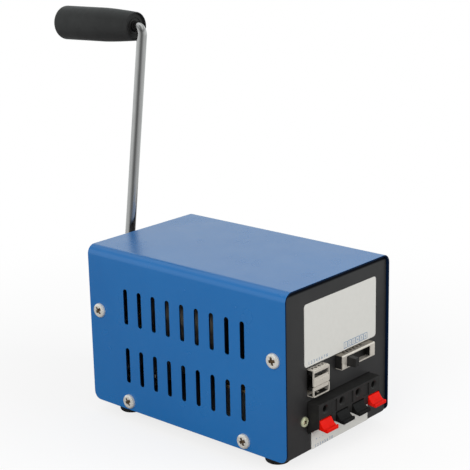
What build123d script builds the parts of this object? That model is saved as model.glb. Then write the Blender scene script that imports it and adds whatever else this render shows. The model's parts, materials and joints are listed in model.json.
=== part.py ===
from build123d import *
from math import acos, cos, pi, radians, sin, sqrt, tan
import os

# Hand crank generator: a blue folded cover on a black chassis, with a bent steel crank at the back.
# Millimetres. While the pieces are made, x runs across the case, y from the front panel (minus) to
# the crank (plus), and z is height above the lower edge of the cover. Everything is moved at the
# end, so that the origin lies on the floor, under the middle of the whole object.

# Case
case_width = 97.0
case_height = 100.0
case_length = 155.5
cover_sheet = 1.0
cover_bend = 5.5
cover_lower_corner = 5.0
chassis_sheet = 1.2
chassis_gap = 0.3
chassis_lower_corner = 4.0
panel_recess = 1.5
panel_bend = 1.5
flange_height = 11.0
tab_height = 16.0
tab_reach = 12.0
corner_relief = 8.0

# Vents, two rows on each side of the cover
vent_count = 9
vent_pitch = 11.6
vent_length = 22.6
vent_width = 3.2
vent_end_sides = 3
vent_row_heights = (66.6, 29.1)

# Screws that hold the cover: two rows on each side
cover_screw_upper = (69.0, 60.0)
cover_screw_lower = (46.4, 5.7)
cover_screw_head = 9.0
cover_screw_rise = 2.2
cover_screw_shank = 4.0
cover_screw_length = 7.0

# Small shanks and their holes repeat so often that they are prisms of a few sides
shank_sides = 6
head_sides = 8
head_slope = 25.0
screw_hole_gap = 0.1

# Feet
foot_height = 7.5
foot_diameter = 14.8
foot_place = (34.3, 59.5)
foot_well_diameter = 7.6
foot_well_depth = 4.4
foot_screw_head = 6.0
foot_screw_rise = 2.0
foot_screw_shank = 3.0

# Labels
label_thickness = 0.4
label_left = -30.6
label_right = 36.6
label_bottom = 51.7
label_top = 88.8
label_corner = 2.0
strip_left = -24.8
strip_right = 29.0
strip_bottom = 0.6

# Stacked sockets
usb_centre = -20.4
usb_width = 14.6
usb_height = 16.2
usb_bottom = 34.1
usb_depth = 18.0
usb_proud = 4.4
usb_wall = 0.4
usb_port_width = 12.6
usb_port_height = 4.9
usb_port_pitch = 9.4
usb_port_depth = 12.0
usb_port_sill = 0.5
usb_tongue_width = 11.1
usb_tongue_thickness = 1.8
usb_tongue_drop = 0.7
usb_tongue_setback = 1.2
usb_core_fit = 0.02
usb_contact_width = 1.0
usb_contact_thickness = 0.25
usb_contact_pitch = 2.3
panel_cutout_gap = 0.4

# Slide switch
switch_left = -1.8
switch_right = 29.5
switch_bottom = 42.6
switch_top = 51.2
switch_proud = 5.0
switch_depth = 14.0
switch_sheet = 0.5
window_left = 2.3
window_right = 25.0
window_height = 6.3
notch_count = 6
notch_pitch = 3.25
notch_width = 1.7
notch_length = 1.3
notch_first = 3.6
knob_width = 4.0
knob_height = 5.7
knob_proud = 5.7
knob_end_gap = 0.5
knob_foot_width = 7.2
knob_foot_thickness = 3.4
knob_clearance = 0.2
switch_pin_reach = 2.5
switch_base_fit = 0.02
switch_pin_count = 7
switch_pin_width = 0.8

# Spring terminal block
terminal_middle = 1.65
block_bottom = 11.4
block_front_bottom = 16.2
block_top = 30.4
block_proud = 7.9
block_depth = 10.0
block_wall = 2.2
block_floor = 2.6
block_roof = 1.5
block_flange_reach = 8.4
block_flange_thickness = 2.5
block_edge = 0.5
terminal_count = 4
wire_hole_radius = 1.7
wire_hole_height = 26.5
lever_width = 10.6
lever_side_gap = 0.3
lever_spacing = 4.8
lever_end_wall = 0.85
lever_opening_top = 21.2
lever_pivot_inset = 5.0
lever_pivot_height = 18.0
lever_pin_radius = 1.2
lever_pin_reach = 0.7
lever_pin_clearance = 0.06
lever_root_radius = 2.3
lever_reach = 5.3
lever_top_at_face = 20.6
lever_lip_top = 16.9
lever_lip_bottom = 14.6
lever_scoop = 0.9
lever_edge = 0.35
lever_arm_reach = 4.0
lever_arm_rise = 3.6
clip_thickness = 0.5
clip_width = 7.0
clip_inset = 2.2
clip_hook = 3.2
clip_hook_drop = 3.0
clip_tag_reach = 4.0
clip_slot_gap = 0.1
block_screw_reach = 3.35
block_screw_height = 19.7
block_screw_head = 6.0
block_screw_rise = 2.0
block_screw_shank = 3.0
block_screw_length = 6.0

# Crank
crank_axis_height = 49.2
crank_lean = 7.98
rod_diameter = 6.5
arm_length = 176.0
arm_standoff = 20.25
hub_bend_radius = 8.0
grip_bend_radius = 5.6
grip_droop = 1.5
rod_spindle_length = 58.0
rod_fit = 0.05

# Grip on the crank, measured along its spindle from the arm's centre line
grip_start = 5.5
grip_bulge_at = 33.0
grip_end = 73.0
grip_near_diameter = 18.2
grip_bulge_diameter = 21.8
grip_far_diameter = 22.2
grip_far_edge = 3.0
grip_rim = 0.9
grip_recess = 1.5
grip_bush_length = 18.0
grip_bush_fit = 0.02
grip_cavity_end = 42.0
grip_cavity_diameter = 13.0
grip_cavity_cone = 2.0
grip_running_clearance = 0.06
grip_tip_room = 1.5
ring_thickness = 1.2
ring_rise = 2.2
ring_gap = 0.3

# Crank shaft and its collar
quill_wall = 2.7
quill_start_gap = 0.9
quill_reach = 11.8
shaft_diameter = 8.0
shaft_clearance = 0.04
rod_seat_floor = 0.3
collar_diameter = 20.0
collar_width = 9.0
collar_end_gap = 0.6
collar_fit = 0.02
collar_edge = 0.8
collar_screw_diameter = 4.0
collar_screw_turn = 180.0
collar_screw_sink = 0.8
rear_hole_gap = 1.0

# Gear train
pressure_angle = 25.0
first_module = 1.0
first_wheel_teeth = 48
first_pinion_teeth = 12
first_face = 6.0
second_module = 0.75
second_wheel_teeth = 36
second_pinion_teeth = 12
second_face = 5.0
pinion_extra_face = 1.0
tooth_thinning = 0.07
tooth_root_depth = 1.25
idler_direction = 180.0
rotor_direction = 20.0
flank_points = 2
idler_arbor_diameter = 4.0
plate_thickness = 2.5
plate_size = 74.0
plate_corner = 4.0
plate_gap = 20.5
plate_setback = 9.55
pillar_offset = 31.0
pillar_across_corners = 8.0
pillar_screw_shank = 3.5
pillar_screw_head = 6.5
pillar_screw_rise = 2.0
pillar_tapped_depth = 8.0
screw_end_room = 1.0
rivet_diameter = 5.6
rivet_rise = 1.2
gear_side_gap = 1.4
gear_end_float = 0.3
idler_clearance = 0.05

# Generator
can_radius = 18.0
can_length = 52.0
can_edge = 1.5
can_boss_radius = 6.0
can_screw_offset = 12.5
can_screw_shank = 3.0
can_screw_head = 5.5
can_screw_rise = 1.8
can_screw_depth = 3.0
end_cap_thickness = 3.0
cap_step = 0.8
cap_boss_radius = 7.0
cap_boss_rise = 2.0
rotor_shaft_diameter = 3.2
rotor_shaft_seat = 20.0
brush_tag_reach = 5.0
brush_tag_offset = 11.0
brush_tag_width = 3.5

# Circuit board and what it carries
board_thickness = 1.6
board_side_gap = 4.2
board_depth = 47.0
board_front_gap = 1.4
standoff_across_flats = 5.5
standoff_inset = 5.0
standoff_front_inset = 8.0
standoff_pin = 3.0
standoff_cap = 1.4

# Radius, height, x and distance from the board's front edge of each capacitor
capacitor_sizes = ((8.0, 25.0, 28.0, 22.0), (6.3, 20.0, 9.0, 33.0))
inductor_radius = 9.0
inductor_height = 12.0
inductor_place = (-8.0, 32.0)
sink_width = 22.0
sink_depth = 10.0
sink_height = 26.0
sink_base = 2.0
sink_fin = 1.2
sink_fin_count = 6
sink_place = (-30.0, 22.0)
regulator_width = 10.0
regulator_height = 15.0
regulator_depth = 4.4
regulator_lift = 4.0
regulator_leg_pitch = 2.54
regulator_leg_width = 0.8

# Places that several pieces share
panel_front = case_length / 2 - panel_recess
panel_inside = panel_front - chassis_sheet
chassis_width = case_width - 2 * (cover_sheet + chassis_gap)
chassis_top = case_height - cover_sheet - chassis_gap
rod_radius = rod_diameter / 2
arm_plane = panel_front + arm_standoff
rear_plate_back = panel_inside - plate_setback
rear_plate_front = rear_plate_back - plate_thickness
front_plate_back = rear_plate_front - plate_gap
front_plate_front = front_plate_back - plate_thickness
first_distance = first_module * (first_wheel_teeth + first_pinion_teeth) / 2
second_distance = second_module * (second_wheel_teeth + second_pinion_teeth) / 2
idler_x = first_distance * cos(radians(idler_direction))
idler_z = crank_axis_height + first_distance * sin(radians(idler_direction))
rotor_x = idler_x + second_distance * cos(radians(rotor_direction))
rotor_z = idler_z + second_distance * sin(radians(rotor_direction))
second_start = front_plate_back + gear_side_gap + gear_end_float
first_end = rear_plate_front - gear_side_gap
first_start = first_end - first_face
second_end = second_start + second_face
can_front = front_plate_front - can_length
cap_front = can_front - end_cap_thickness
board_top = usb_bottom
board_bottom = board_top - board_thickness
board_width = chassis_width - 2 * board_side_gap
board_front = -panel_inside + board_front_gap
terminal_pitch = lever_width + lever_spacing
block_width = (terminal_count - 1) * terminal_pitch + lever_width + 2 * lever_end_wall
block_left = terminal_middle - block_width / 2
block_right = terminal_middle + block_width / 2
block_screw_offset = block_width / 2 + block_screw_reach
block_face = -(panel_front + block_proud)
block_rear = -panel_inside + block_depth
lever_pivot_y = block_face + lever_pivot_inset
knob_travel = window_right - window_left - 2 * knob_end_gap - knob_width
usb_face = -(panel_front + usb_proud)
switch_face = -(panel_front + switch_proud)


def rod_along_y(radius, start, end, x=0.0, z=0.0):
    return Pos(x, (start + end) / 2, z) * Rot(90, 0, 0) * Cylinder(radius, end - start)


def block_between(low, high):
    size = [b - a for a, b in zip(low, high)]
    middle = [(a + b) / 2 for a, b in zip(low, high)]
    return Pos(*middle) * Box(*size)


def side_profile(points, left, right):
    # A closed outline in y and z, drawn out from the left x to the right x
    face = make_face(Polyline(*points, close=True))
    return Pos(left, 0, 0) * extrude(Plane.YZ * face, right - left)


def front_outline(width, low, high, lower_corner, upper_corner):
    # The case seen from the front, in x and z, with its corners rounded
    outline = Pos(0, (low + high) / 2) * Rectangle(width, high - low)
    outline = fillet(outline.vertices().group_by(Axis.Y)[-1], upper_corner)
    if lower_corner > 0:
        outline = fillet(outline.vertices().group_by(Axis.Y)[0], lower_corner)
    return outline


def screw(head, rise, shank, length):
    # A screw whose sloping head stands up from z = 0 and whose shank points down
    top = extrude(RegularPolygon(head / 2, head_sides), rise, taper=head_slope)
    return top + extrude(RegularPolygon(shank / 2, shank_sides), -length)


def screw_hole(shank, start, end, x, z):
    # A clearance hole for a screw that runs along y
    face = RegularPolygon(shank / 2 + screw_hole_gap, shank_sides)
    return Pos(x, end, z) * extrude(Plane.XZ * face, end - start)


def upright_hole(shank, x, y):
    face = RegularPolygon(shank / 2 + screw_hole_gap, shank_sides)
    return Pos(x, y, 0) * extrude(face, case_height, both=True)


def side_screw_face(radius):
    # The outline of a hole for a screw that lies across the case, as its shank is turned there
    return RegularPolygon(radius, shank_sides, rotation=90)


def cover_screw_places():
    places = []
    for along, up in (cover_screw_upper, cover_screw_lower):
        for end in (-1, 1):
            places.append((end * along, up))
    return places


def vent_outline():
    # An upright slot with half-round ends
    radius = vent_width / 2
    rise = vent_length / 2 - radius
    points = []
    for end, first in ((1, 0.0), (-1, pi)):
        for index in range(vent_end_sides + 1):
            turn = first + pi * index / vent_end_sides
            points.append((radius * cos(turn), end * rise + radius * sin(turn)))
    return make_face(Polyline(*points, close=True))


def make_cover():
    outer = front_outline(case_width, 0, case_height, 0, cover_bend)
    inner = front_outline(
        case_width - 2 * cover_sheet, -cover_sheet, case_height - cover_sheet, 0, cover_bend - cover_sheet
    )
    shell = extrude(Plane.XZ * (outer - inner), case_length / 2, both=True)
    side = Pos(0, case_height / 2) * Rectangle(case_length, case_height)
    side = fillet(side.vertices().group_by(Axis.Y)[0], cover_lower_corner)
    shell &= extrude(Plane.YZ * side, case_width, both=True)
    openings = Sketch()
    for height in vent_row_heights:
        for index in range(vent_count):
            along = (index - (vent_count - 1) / 2) * vent_pitch
            openings += Pos(along, height) * vent_outline()
    for along, up in cover_screw_places():
        openings += Pos(along, up) * side_screw_face(cover_screw_shank / 2 + chassis_gap)
    return shell - extrude(Plane.YZ * openings, case_width, both=True)


def panel_openings():
    usb_high = usb_bottom + usb_height
    usb_hole = Pos(usb_centre, (usb_bottom + usb_high) / 2) * Rectangle(
        usb_width + 2 * panel_cutout_gap, usb_height + 2 * panel_cutout_gap
    )
    switch_hole = Pos((switch_left + switch_right) / 2, (switch_bottom + switch_top) / 2) * Rectangle(
        switch_right - switch_left + 2 * panel_cutout_gap, switch_top - switch_bottom + 2 * panel_cutout_gap
    )
    block_hole = Pos(terminal_middle, (block_bottom + block_top) / 2) * Rectangle(
        block_right - block_left + 2 * panel_cutout_gap, block_top - block_bottom + 2 * panel_cutout_gap
    )
    holes = usb_hole + switch_hole + block_hole
    for side in (-1, 1):
        place = terminal_middle + side * block_screw_offset
        holes += Pos(place, block_screw_height) * RegularPolygon(
            block_screw_shank / 2 + screw_hole_gap, shank_sides
        )
    return holes


def pillar_places():
    return [(x * pillar_offset, crank_axis_height + z * pillar_offset) for x in (-1, 1) for z in (-1, 1)]


def standoff_places():
    across = board_width / 2 - standoff_inset
    near = board_front + standoff_front_inset
    far = board_front + board_depth - standoff_inset
    return [(x * across, y) for x in (-1, 1) for y in (near, far)]


def foot_places():
    return [(x * foot_place[0], y * foot_place[1]) for x in (-1, 1) for y in (-1, 1)]


def make_chassis():
    upper = cover_bend - cover_sheet
    outside = front_outline(chassis_width, 0, chassis_top, chassis_lower_corner, upper)
    length = Pos(0, case_height / 2) * Rectangle(2 * panel_front, case_height)
    length = fillet(length.vertices().group_by(Axis.Y)[0], panel_bend)
    body = extrude(Plane.XZ * outside, panel_front, both=True)
    body &= extrude(Plane.YZ * length, case_width, both=True)
    inside = front_outline(
        chassis_width - 2 * chassis_sheet, chassis_sheet, case_height,
        chassis_lower_corner - chassis_sheet, upper - chassis_sheet,
    )
    body -= extrude(Plane.XZ * inside, panel_inside, both=True)
    # Above the side flanges only the end panels and their four screw tabs are left
    half = case_width / 2
    tab_low = cover_screw_upper[1] - tab_height / 2
    tab_high = cover_screw_upper[1] + tab_height / 2
    tab_end = panel_inside - tab_reach
    body -= block_between((-half, -tab_end, flange_height), (half, tab_end, case_height))
    for low, high in ((flange_height, tab_low), (tab_high, case_height)):
        body -= block_between((-half, -panel_inside, low), (half, panel_inside, high))
    relief_start = panel_inside - corner_relief
    for side in (-1, 1):
        for end in (-1, 1):
            across = sorted((side * half, side * (chassis_width / 2 - chassis_lower_corner)))
            along = sorted((end * relief_start, end * panel_inside))
            body -= block_between((across[0], along[0], chassis_sheet), (across[1], along[1], flange_height))
    # Openings in the front panel, for the sockets, the switch and the terminals
    body -= Pos(0, -panel_inside, 0) * extrude(Plane.XZ * panel_openings(), panel_front, both=True) & \
        block_between((-half, -case_length, 0), (half, 0, case_height))
    # Holes for the crank shaft, the gearbox, the board and the feet
    hole = rod_radius + quill_wall + rear_hole_gap
    body -= rod_along_y(hole, panel_inside - 1, panel_front + 1, 0, crank_axis_height)
    for x, z in pillar_places():
        body -= screw_hole(pillar_screw_shank, panel_inside - 1, panel_front + 1, x, z)
    for x, y in foot_places():
        body -= upright_hole(foot_screw_shank, x, y)
    tapped = side_screw_face(cover_screw_shank / 2 + screw_hole_gap)
    for along, up in cover_screw_places():
        body -= Pos(0, along, up) * extrude(Plane.YZ * tapped, case_width, both=True)
    return body


def make_cover_screws():
    one = screw(cover_screw_head, cover_screw_rise, cover_screw_shank, cover_screw_length)
    screws = []
    for side in (-1, 1):
        for along, up in cover_screw_places():
            screws.append(Pos(side * case_width / 2, along, up) * Rot(0, side * 90, 0) * one)
    return screws


def make_feet():
    foot = Cylinder(foot_diameter / 2, foot_height, align=(Align.CENTER, Align.CENTER, Align.MAX))
    foot -= Pos(0, 0, -foot_height) * Cylinder(
        foot_well_diameter / 2, foot_well_depth, align=(Align.CENTER, Align.CENTER, Align.MIN)
    )
    foot -= upright_hole(foot_screw_shank, 0, 0)
    return [Pos(x, y, 0) * foot for x, y in foot_places()]


def make_foot_screws():
    length = foot_height - foot_well_depth + chassis_sheet + foot_screw_rise
    one = Rot(180, 0, 0) * screw(foot_screw_head, foot_screw_rise, foot_screw_shank, length)
    return [Pos(x, y, foot_well_depth - foot_height) * one for x, y in foot_places()]


def make_label(left, right, low, high):
    plate = RectangleRounded(right - left, high - low, label_corner)
    plate = Plane.XZ * Pos((left + right) / 2, (low + high) / 2) * plate
    return Pos(0, -panel_front, 0) * extrude(plate, label_thickness)


def port_heights():
    low = usb_bottom + usb_port_sill + usb_port_height / 2
    return (low, low + usb_port_pitch)


def make_usb_shell():
    left = usb_centre - usb_width / 2
    right = usb_centre + usb_width / 2
    shell = block_between(
        (left, usb_face, usb_bottom), (right, usb_face + usb_depth, usb_bottom + usb_height)
    )
    shell = fillet(shell.edges().filter_by(Axis.Y), usb_wall)
    for height in port_heights():
        shell -= block_between(
            (usb_centre - usb_port_width / 2, usb_face - 1, height - usb_port_height / 2),
            (usb_centre + usb_port_width / 2, usb_face + usb_port_depth, height + usb_port_height / 2),
        )
    # Behind the ports the shell is one open box that the moulded core fills
    shell -= block_between(
        (left + usb_wall, usb_face + usb_port_depth, usb_bottom - 1),
        (right - usb_wall, usb_face + usb_depth + 1, usb_bottom + usb_height - usb_wall),
    )
    return shell


def tongue_range(height):
    high = height + usb_port_height / 2 - usb_tongue_drop
    return high - usb_tongue_thickness, high


def make_usb_core():
    start = usb_face + usb_port_depth + usb_core_fit
    inside = usb_width / 2 - usb_wall - usb_core_fit
    core = block_between(
        (usb_centre - inside, start, usb_bottom),
        (usb_centre + inside, usb_face + usb_depth, usb_bottom + usb_height - usb_wall - usb_core_fit),
    )
    for height in port_heights():
        low, high = tongue_range(height)
        core += block_between(
            (usb_centre - usb_tongue_width / 2, usb_face + usb_tongue_setback, low),
            (usb_centre + usb_tongue_width / 2, start + 1, high),
        )
    return core


def make_usb_contacts():
    contacts = []
    for height in port_heights():
        low = tongue_range(height)[0]
        for index in range(4):
            x = usb_centre + (index - 1.5) * usb_contact_pitch
            contacts.append(block_between(
                (x - usb_contact_width / 2, usb_face + usb_tongue_setback + 1, low - usb_contact_thickness),
                (x + usb_contact_width / 2, usb_face + usb_port_depth, low),
            ))
    return contacts


def switch_inside():
    low = switch_bottom + switch_sheet
    high = switch_top - switch_sheet
    return low, high


def make_switch_frame():
    back = switch_face + switch_depth
    frame = block_between((switch_left, switch_face, switch_bottom), (switch_right, back, switch_top))
    frame = fillet(frame.edges().filter_by(Axis.X).group_by(Axis.Y)[0], switch_sheet)
    low, high = switch_inside()
    frame -= block_between(
        (switch_left - 1, switch_face + switch_sheet, low), (switch_right + 1, back + 1, high)
    )
    middle = (switch_bottom + switch_top) / 2
    frame -= block_between(
        (window_left, switch_face - 1, middle - window_height / 2),
        (window_right, switch_face + 2 * switch_sheet, middle + window_height / 2),
    )
    notch_end = -panel_front
    for index in range(notch_count):
        x = notch_first + index * notch_pitch
        frame -= block_between(
            (x - notch_width / 2, notch_end - notch_length, high - 1),
            (x + notch_width / 2, notch_end, switch_top + 1),
        )
    return frame


def knob_rest_middle():
    return window_left + knob_end_gap + knob_width / 2


def knob_foot_back():
    return switch_face + switch_sheet + knob_clearance + knob_foot_thickness


def make_switch_base():
    low, high = switch_inside()
    start = switch_face + switch_sheet + switch_base_fit
    back = switch_face + switch_depth
    base = block_between(
        (switch_left, start, low + switch_base_fit), (switch_right, back, high - switch_base_fit)
    )
    first = knob_rest_middle() - knob_foot_width / 2 - knob_clearance
    last = first + knob_travel + knob_foot_width + 2 * knob_clearance
    return base - block_between(
        (first, start - 1, low - 1), (last, knob_foot_back() + knob_clearance, high + 1)
    )


def make_switch_pins():
    # Flat legs from the back of the switch down to the board
    pins = []
    back = switch_face + switch_depth
    span = switch_right - switch_left
    for index in range(switch_pin_count):
        x = switch_left + span * (index + 0.5) / switch_pin_count
        level = (switch_bottom + switch_top) / 2
        leg = block_between(
            (x - switch_pin_width / 2, back, level - switch_pin_width),
            (x + switch_pin_width / 2, back + switch_pin_reach, level),
        )
        leg += block_between(
            (x - switch_pin_width / 2, back + switch_pin_reach - clip_thickness, board_top),
            (x + switch_pin_width / 2, back + switch_pin_reach, level),
        )
        pins.append(leg)
    return pins


def make_switch_knob():
    low, high = switch_inside()
    middle = (low + high) / 2
    x = knob_rest_middle()
    foot = block_between(
        (x - knob_foot_width / 2, switch_face + switch_sheet + knob_clearance, low + knob_clearance),
        (x + knob_foot_width / 2, knob_foot_back(), high - knob_clearance),
    )
    front = switch_face - knob_proud
    stem = block_between(
        (x - knob_width / 2, front, middle - knob_height / 2),
        (x + knob_width / 2, knob_foot_back() - 1, middle + knob_height / 2),
    )
    stem = chamfer(stem.faces().sort_by(Axis.Y)[0].edges(), switch_sheet)
    return foot + stem


def terminal_places():
    return [terminal_middle + (i - (terminal_count - 1) / 2) * terminal_pitch for i in range(terminal_count)]


def make_terminal_body():
    nose = [
        (block_rear, block_bottom), (block_rear, block_top), (block_face, block_top),
        (block_face, block_front_bottom), (-panel_front, block_bottom),
    ]
    body = side_profile(nose, block_left, block_right)
    body = chamfer(body.faces().sort_by(Axis.Y)[0].edges(), block_edge)
    flange_left = block_left - block_flange_reach
    flange_right = block_right + block_flange_reach
    body += block_between(
        (flange_left, -panel_inside, block_bottom),
        (flange_right, -panel_inside + block_flange_thickness, block_top),
    )
    front_wall = block_face + block_wall
    rear_wall = block_rear - block_wall
    floor_front = lever_pivot_y + lever_pin_radius
    room = [
        (rear_wall, block_bottom + block_floor), (rear_wall, block_top - block_roof),
        (front_wall, block_top - block_roof), (front_wall, lever_opening_top),
        (block_face - 1, lever_opening_top), (block_face - 1, block_bottom - 1),
        (floor_front, block_bottom - 1), (floor_front, block_bottom + block_floor),
    ]
    half = lever_width / 2 + lever_side_gap
    pin_half = lever_width / 2 + lever_pin_reach + lever_side_gap
    for x in terminal_places():
        body -= side_profile(room, x - half, x + half)
        body -= rod_along_y(wire_hole_radius, block_face - 1, front_wall + 1, x, wire_hole_height)
        body -= pin_saddle(x, pin_half)
        body -= clip_slot(x)
    for side in (-1, 1):
        x = terminal_middle + side * block_screw_offset
        body -= screw_hole(block_screw_shank, -panel_front, block_rear, x, block_screw_height)
    return body


def pin_saddle(x, half):
    # The seat of a lever's pins, open below so that the lever clicks in from there
    radius = lever_pin_radius + lever_pin_clearance
    low = block_bottom - 1
    high = lever_pivot_height + radius
    seat = Pos(lever_pivot_y, (low + high) / 2) * Rectangle(2 * radius, high - low)
    return Pos(x, 0, 0) * extrude(Plane.YZ * seat, half, both=True)


def clip_level():
    return block_bottom + block_floor + clip_thickness


def clip_slot(x):
    half = clip_width / 2 + clip_slot_gap
    low = clip_level() - clip_slot_gap
    high = clip_level() + clip_thickness + clip_slot_gap
    return block_between((x - half, block_rear - 2 * block_wall, low), (x + half, block_rear + 1, high))


def make_terminal_clips():
    # Springy strips: solder tag, upright and a hook that grips the bared wire
    clips = []
    upright = block_rear - block_wall - clip_inset
    top = block_top - block_roof - clip_inset / 2
    for x in terminal_places():
        left = x - clip_width / 2
        right = x + clip_width / 2
        level = clip_level()
        hook = upright - clip_hook
        clip = block_between(
            (left, upright, level), (right, block_rear + clip_tag_reach, level + clip_thickness)
        )
        clip += block_between((left, upright, level), (right, upright + clip_thickness, top))
        clip += block_between((left, hook, top - clip_thickness), (right, upright + clip_thickness, top))
        clip += block_between((left, hook, top - clip_hook_drop), (right, hook + clip_thickness, top))
        clips.append(clip)
    return clips


def make_lever(x):
    tip = block_face - lever_reach
    with BuildSketch(Plane.YZ) as side:
        with BuildLine():
            middle = (lever_top_at_face + lever_lip_top) / 2
            top = ThreePointArc(
                (block_face, lever_top_at_face),
                ((block_face + tip) / 2 + lever_scoop, middle - lever_scoop),
                (tip + lever_scoop, lever_lip_top - lever_edge),
            )
            arm_end = (lever_pivot_y + lever_arm_reach, lever_pivot_height + lever_arm_rise)
            Polyline(
                top @ 1,
                (tip + lever_edge, lever_lip_top),
                (tip, lever_lip_top - lever_edge),
                (tip, lever_lip_bottom),
                (block_face, lever_lip_bottom + lever_edge),
                (lever_pivot_y, lever_pivot_height - lever_root_radius),
                (lever_pivot_y + lever_root_radius, lever_pivot_height),
                arm_end,
                (arm_end[0] - clip_thickness * 2, arm_end[1] + clip_thickness),
                (lever_pivot_y, lever_top_at_face),
                (block_face, lever_top_at_face),
            )
        make_face()
    lever = Pos(x - lever_width / 2, 0, 0) * extrude(side.sketch, lever_width)
    pin = extrude(Plane.YZ * Circle(lever_pin_radius), lever_width / 2 + lever_pin_reach, both=True)
    return lever + Pos(x, lever_pivot_y, lever_pivot_height) * pin


def make_terminal_screws():
    one = Rot(90, 0, 0) * screw(block_screw_head, block_screw_rise, block_screw_shank, block_screw_length)
    screws = []
    for side in (-1, 1):
        x = terminal_middle + side * block_screw_offset
        screws.append(Pos(x, -panel_front, block_screw_height) * one)
    return screws


def crank_frame():
    # Origin where the crank's axis meets the plane of the arm, z along the leaning arm
    return Pos(0, arm_plane, crank_axis_height) * Rot(0, crank_lean, 0)


def grip_frame():
    # Origin where the arm's centre line meets the grip's axis, y out along the grip
    return crank_frame() * Pos(0, 0, arm_length) * Rot(-grip_droop, 0, 0)


def make_crank_rod():
    start = rod_seat_end() - arm_plane
    reach = rod_spindle_length * cos(radians(grip_droop))
    drop = rod_spindle_length * sin(radians(grip_droop))
    tip = (0, reach, arm_length - drop)
    path = FilletPolyline(
        (0, start, 0), (0, 0, 0), (0, 0, arm_length), tip, radius=[hub_bend_radius, grip_bend_radius]
    )
    section = Plane(origin=path @ 0, z_dir=path % 0) * Circle(rod_radius)
    return crank_frame() * sweep(section, path=path)


def ring_start():
    return grip_start + grip_recess + grip_bush_length + ring_gap


def make_ring(inner, outer, thickness):
    # An open retaining ring round the y axis, its gap at the bottom
    ring = rod_along_y(outer, 0, thickness) - rod_along_y(inner, -1, thickness + 1)
    return ring - block_between((-inner / 2, -1, -2 * outer), (inner / 2, thickness + 1, 0))


def make_grip_ring():
    ring = make_ring(rod_radius, rod_radius + ring_rise, ring_thickness)
    return grip_frame() * Pos(0, ring_start(), 0) * ring


def make_grip():
    near = grip_near_diameter / 2
    bulge = grip_bulge_diameter / 2
    far = grip_far_diameter / 2
    socket = near - grip_rim
    bore = rod_radius + grip_running_clearance
    cavity = grip_cavity_diameter / 2
    bush_end = grip_start + grip_recess + grip_bush_length
    closed = rod_spindle_length + grip_tip_room
    with BuildSketch() as half:
        with BuildLine():
            Line((socket, grip_start), (near - grip_rim / 2, grip_start))
            Line((near - grip_rim / 2, grip_start), (near, grip_start + grip_rim / 2))
            Line((near, grip_start + grip_rim / 2), (bulge, grip_bulge_at))
            Line((bulge, grip_bulge_at), (far, grip_end - grip_far_edge))
            RadiusArc((far, grip_end - grip_far_edge), (far - grip_far_edge, grip_end), -grip_far_edge)
            Line((far - grip_far_edge, grip_end), (0, grip_end))
            Line((0, grip_end), (0, closed))
            Line((0, closed), (bore, closed))
            Line((bore, closed), (bore, grip_cavity_end))
            Line((bore, grip_cavity_end), (cavity, grip_cavity_end - grip_cavity_cone))
            Line((cavity, grip_cavity_end - grip_cavity_cone), (cavity, bush_end))
            Line((cavity, bush_end), (socket, bush_end))
            Line((socket, bush_end), (socket, grip_start))
        make_face()
    return grip_frame() * revolve(half.sketch, Axis.Y)


def make_grip_bush():
    outer = grip_near_diameter / 2 - grip_rim - grip_bush_fit
    start = grip_start + grip_recess
    bush = rod_along_y(outer, start, start + grip_bush_length)
    bush -= rod_along_y(rod_radius + grip_running_clearance, start - 1, start + grip_bush_length + 1)
    return grip_frame() * bush


def quill_start():
    return rear_plate_back + quill_start_gap


def quill_end():
    return panel_front + quill_reach


def rod_seat_end():
    return quill_start() + rod_seat_floor


def quill_radius():
    return rod_radius + quill_wall


def collar_range():
    high = quill_end() - collar_end_gap
    return high - collar_width, high


def collar_screw_frame():
    # z points out along the set screw, which bears on the flat back of the rod
    low, high = collar_range()
    return crank_frame() * Pos(0, (low + high) / 2 - arm_plane, 0) * Rot(0, collar_screw_turn, 0)


def collar_screw_hole():
    hole = RegularPolygon(collar_screw_diameter / 2, shank_sides)
    return collar_screw_frame() * extrude(hole, collar_diameter)


def make_crank_shaft():
    shaft = rod_along_y(shaft_diameter / 2, front_plate_front, quill_start(), 0, crank_axis_height)
    quill = rod_along_y(quill_radius(), quill_start(), quill_end(), 0, crank_axis_height)
    bore = rod_along_y(rod_radius + rod_fit, rod_seat_end(), quill_end() + 1, 0, crank_axis_height)
    shaft += quill - bore
    return shaft - collar_screw_hole()


def make_crank_collar():
    low, high = collar_range()
    collar = rod_along_y(collar_diameter / 2, low, high, 0, crank_axis_height)
    collar = chamfer(collar.edges().filter_by(GeomType.CIRCLE), collar_edge)
    collar -= rod_along_y(quill_radius() + collar_fit, low - 1, high + 1, 0, crank_axis_height)
    return collar - collar_screw_hole()


def make_collar_screw():
    top = collar_diameter / 2 - collar_screw_sink
    bottom = rod_radius + rod_fit
    face = RegularPolygon(collar_screw_diameter / 2 - collar_fit, shank_sides)
    return collar_screw_frame() * Pos(0, 0, bottom) * extrude(face, top - bottom)


def involute_angle(radius, base):
    if radius <= base:
        return 0.0
    slope = acos(base / radius)
    return tan(slope) - slope


def gear_face(teeth, module, first_tooth):
    # The outline of a spur gear in x and z; first_tooth is the direction of one tooth, in degrees
    pitch = module * teeth / 2
    base = pitch * cos(radians(pressure_angle))
    tip = pitch + module
    root = pitch - tooth_root_depth * module
    half = pi / (2 * teeth) - tooth_thinning / (2 * pitch) + involute_angle(pitch, base)
    low = max(base, root)
    radii = [low + (tip - low) * step / (flank_points - 1) for step in range(flank_points)]
    points = []
    for index in range(teeth):
        middle = radians(first_tooth) + 2 * pi * index / teeth
        rising = [polar(r, middle - half + involute_angle(r, base)) for r in radii]
        falling = [polar(r, middle + half - involute_angle(r, base)) for r in reversed(radii)]
        if root < base:
            points.append(polar(root, middle - half))
        points.extend(rising + falling)
        if root < base:
            points.append(polar(root, middle + half))
    return make_face(Polyline(*points, close=True))


def polar(radius, angle):
    return Vector(radius * cos(angle), radius * sin(angle))


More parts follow.
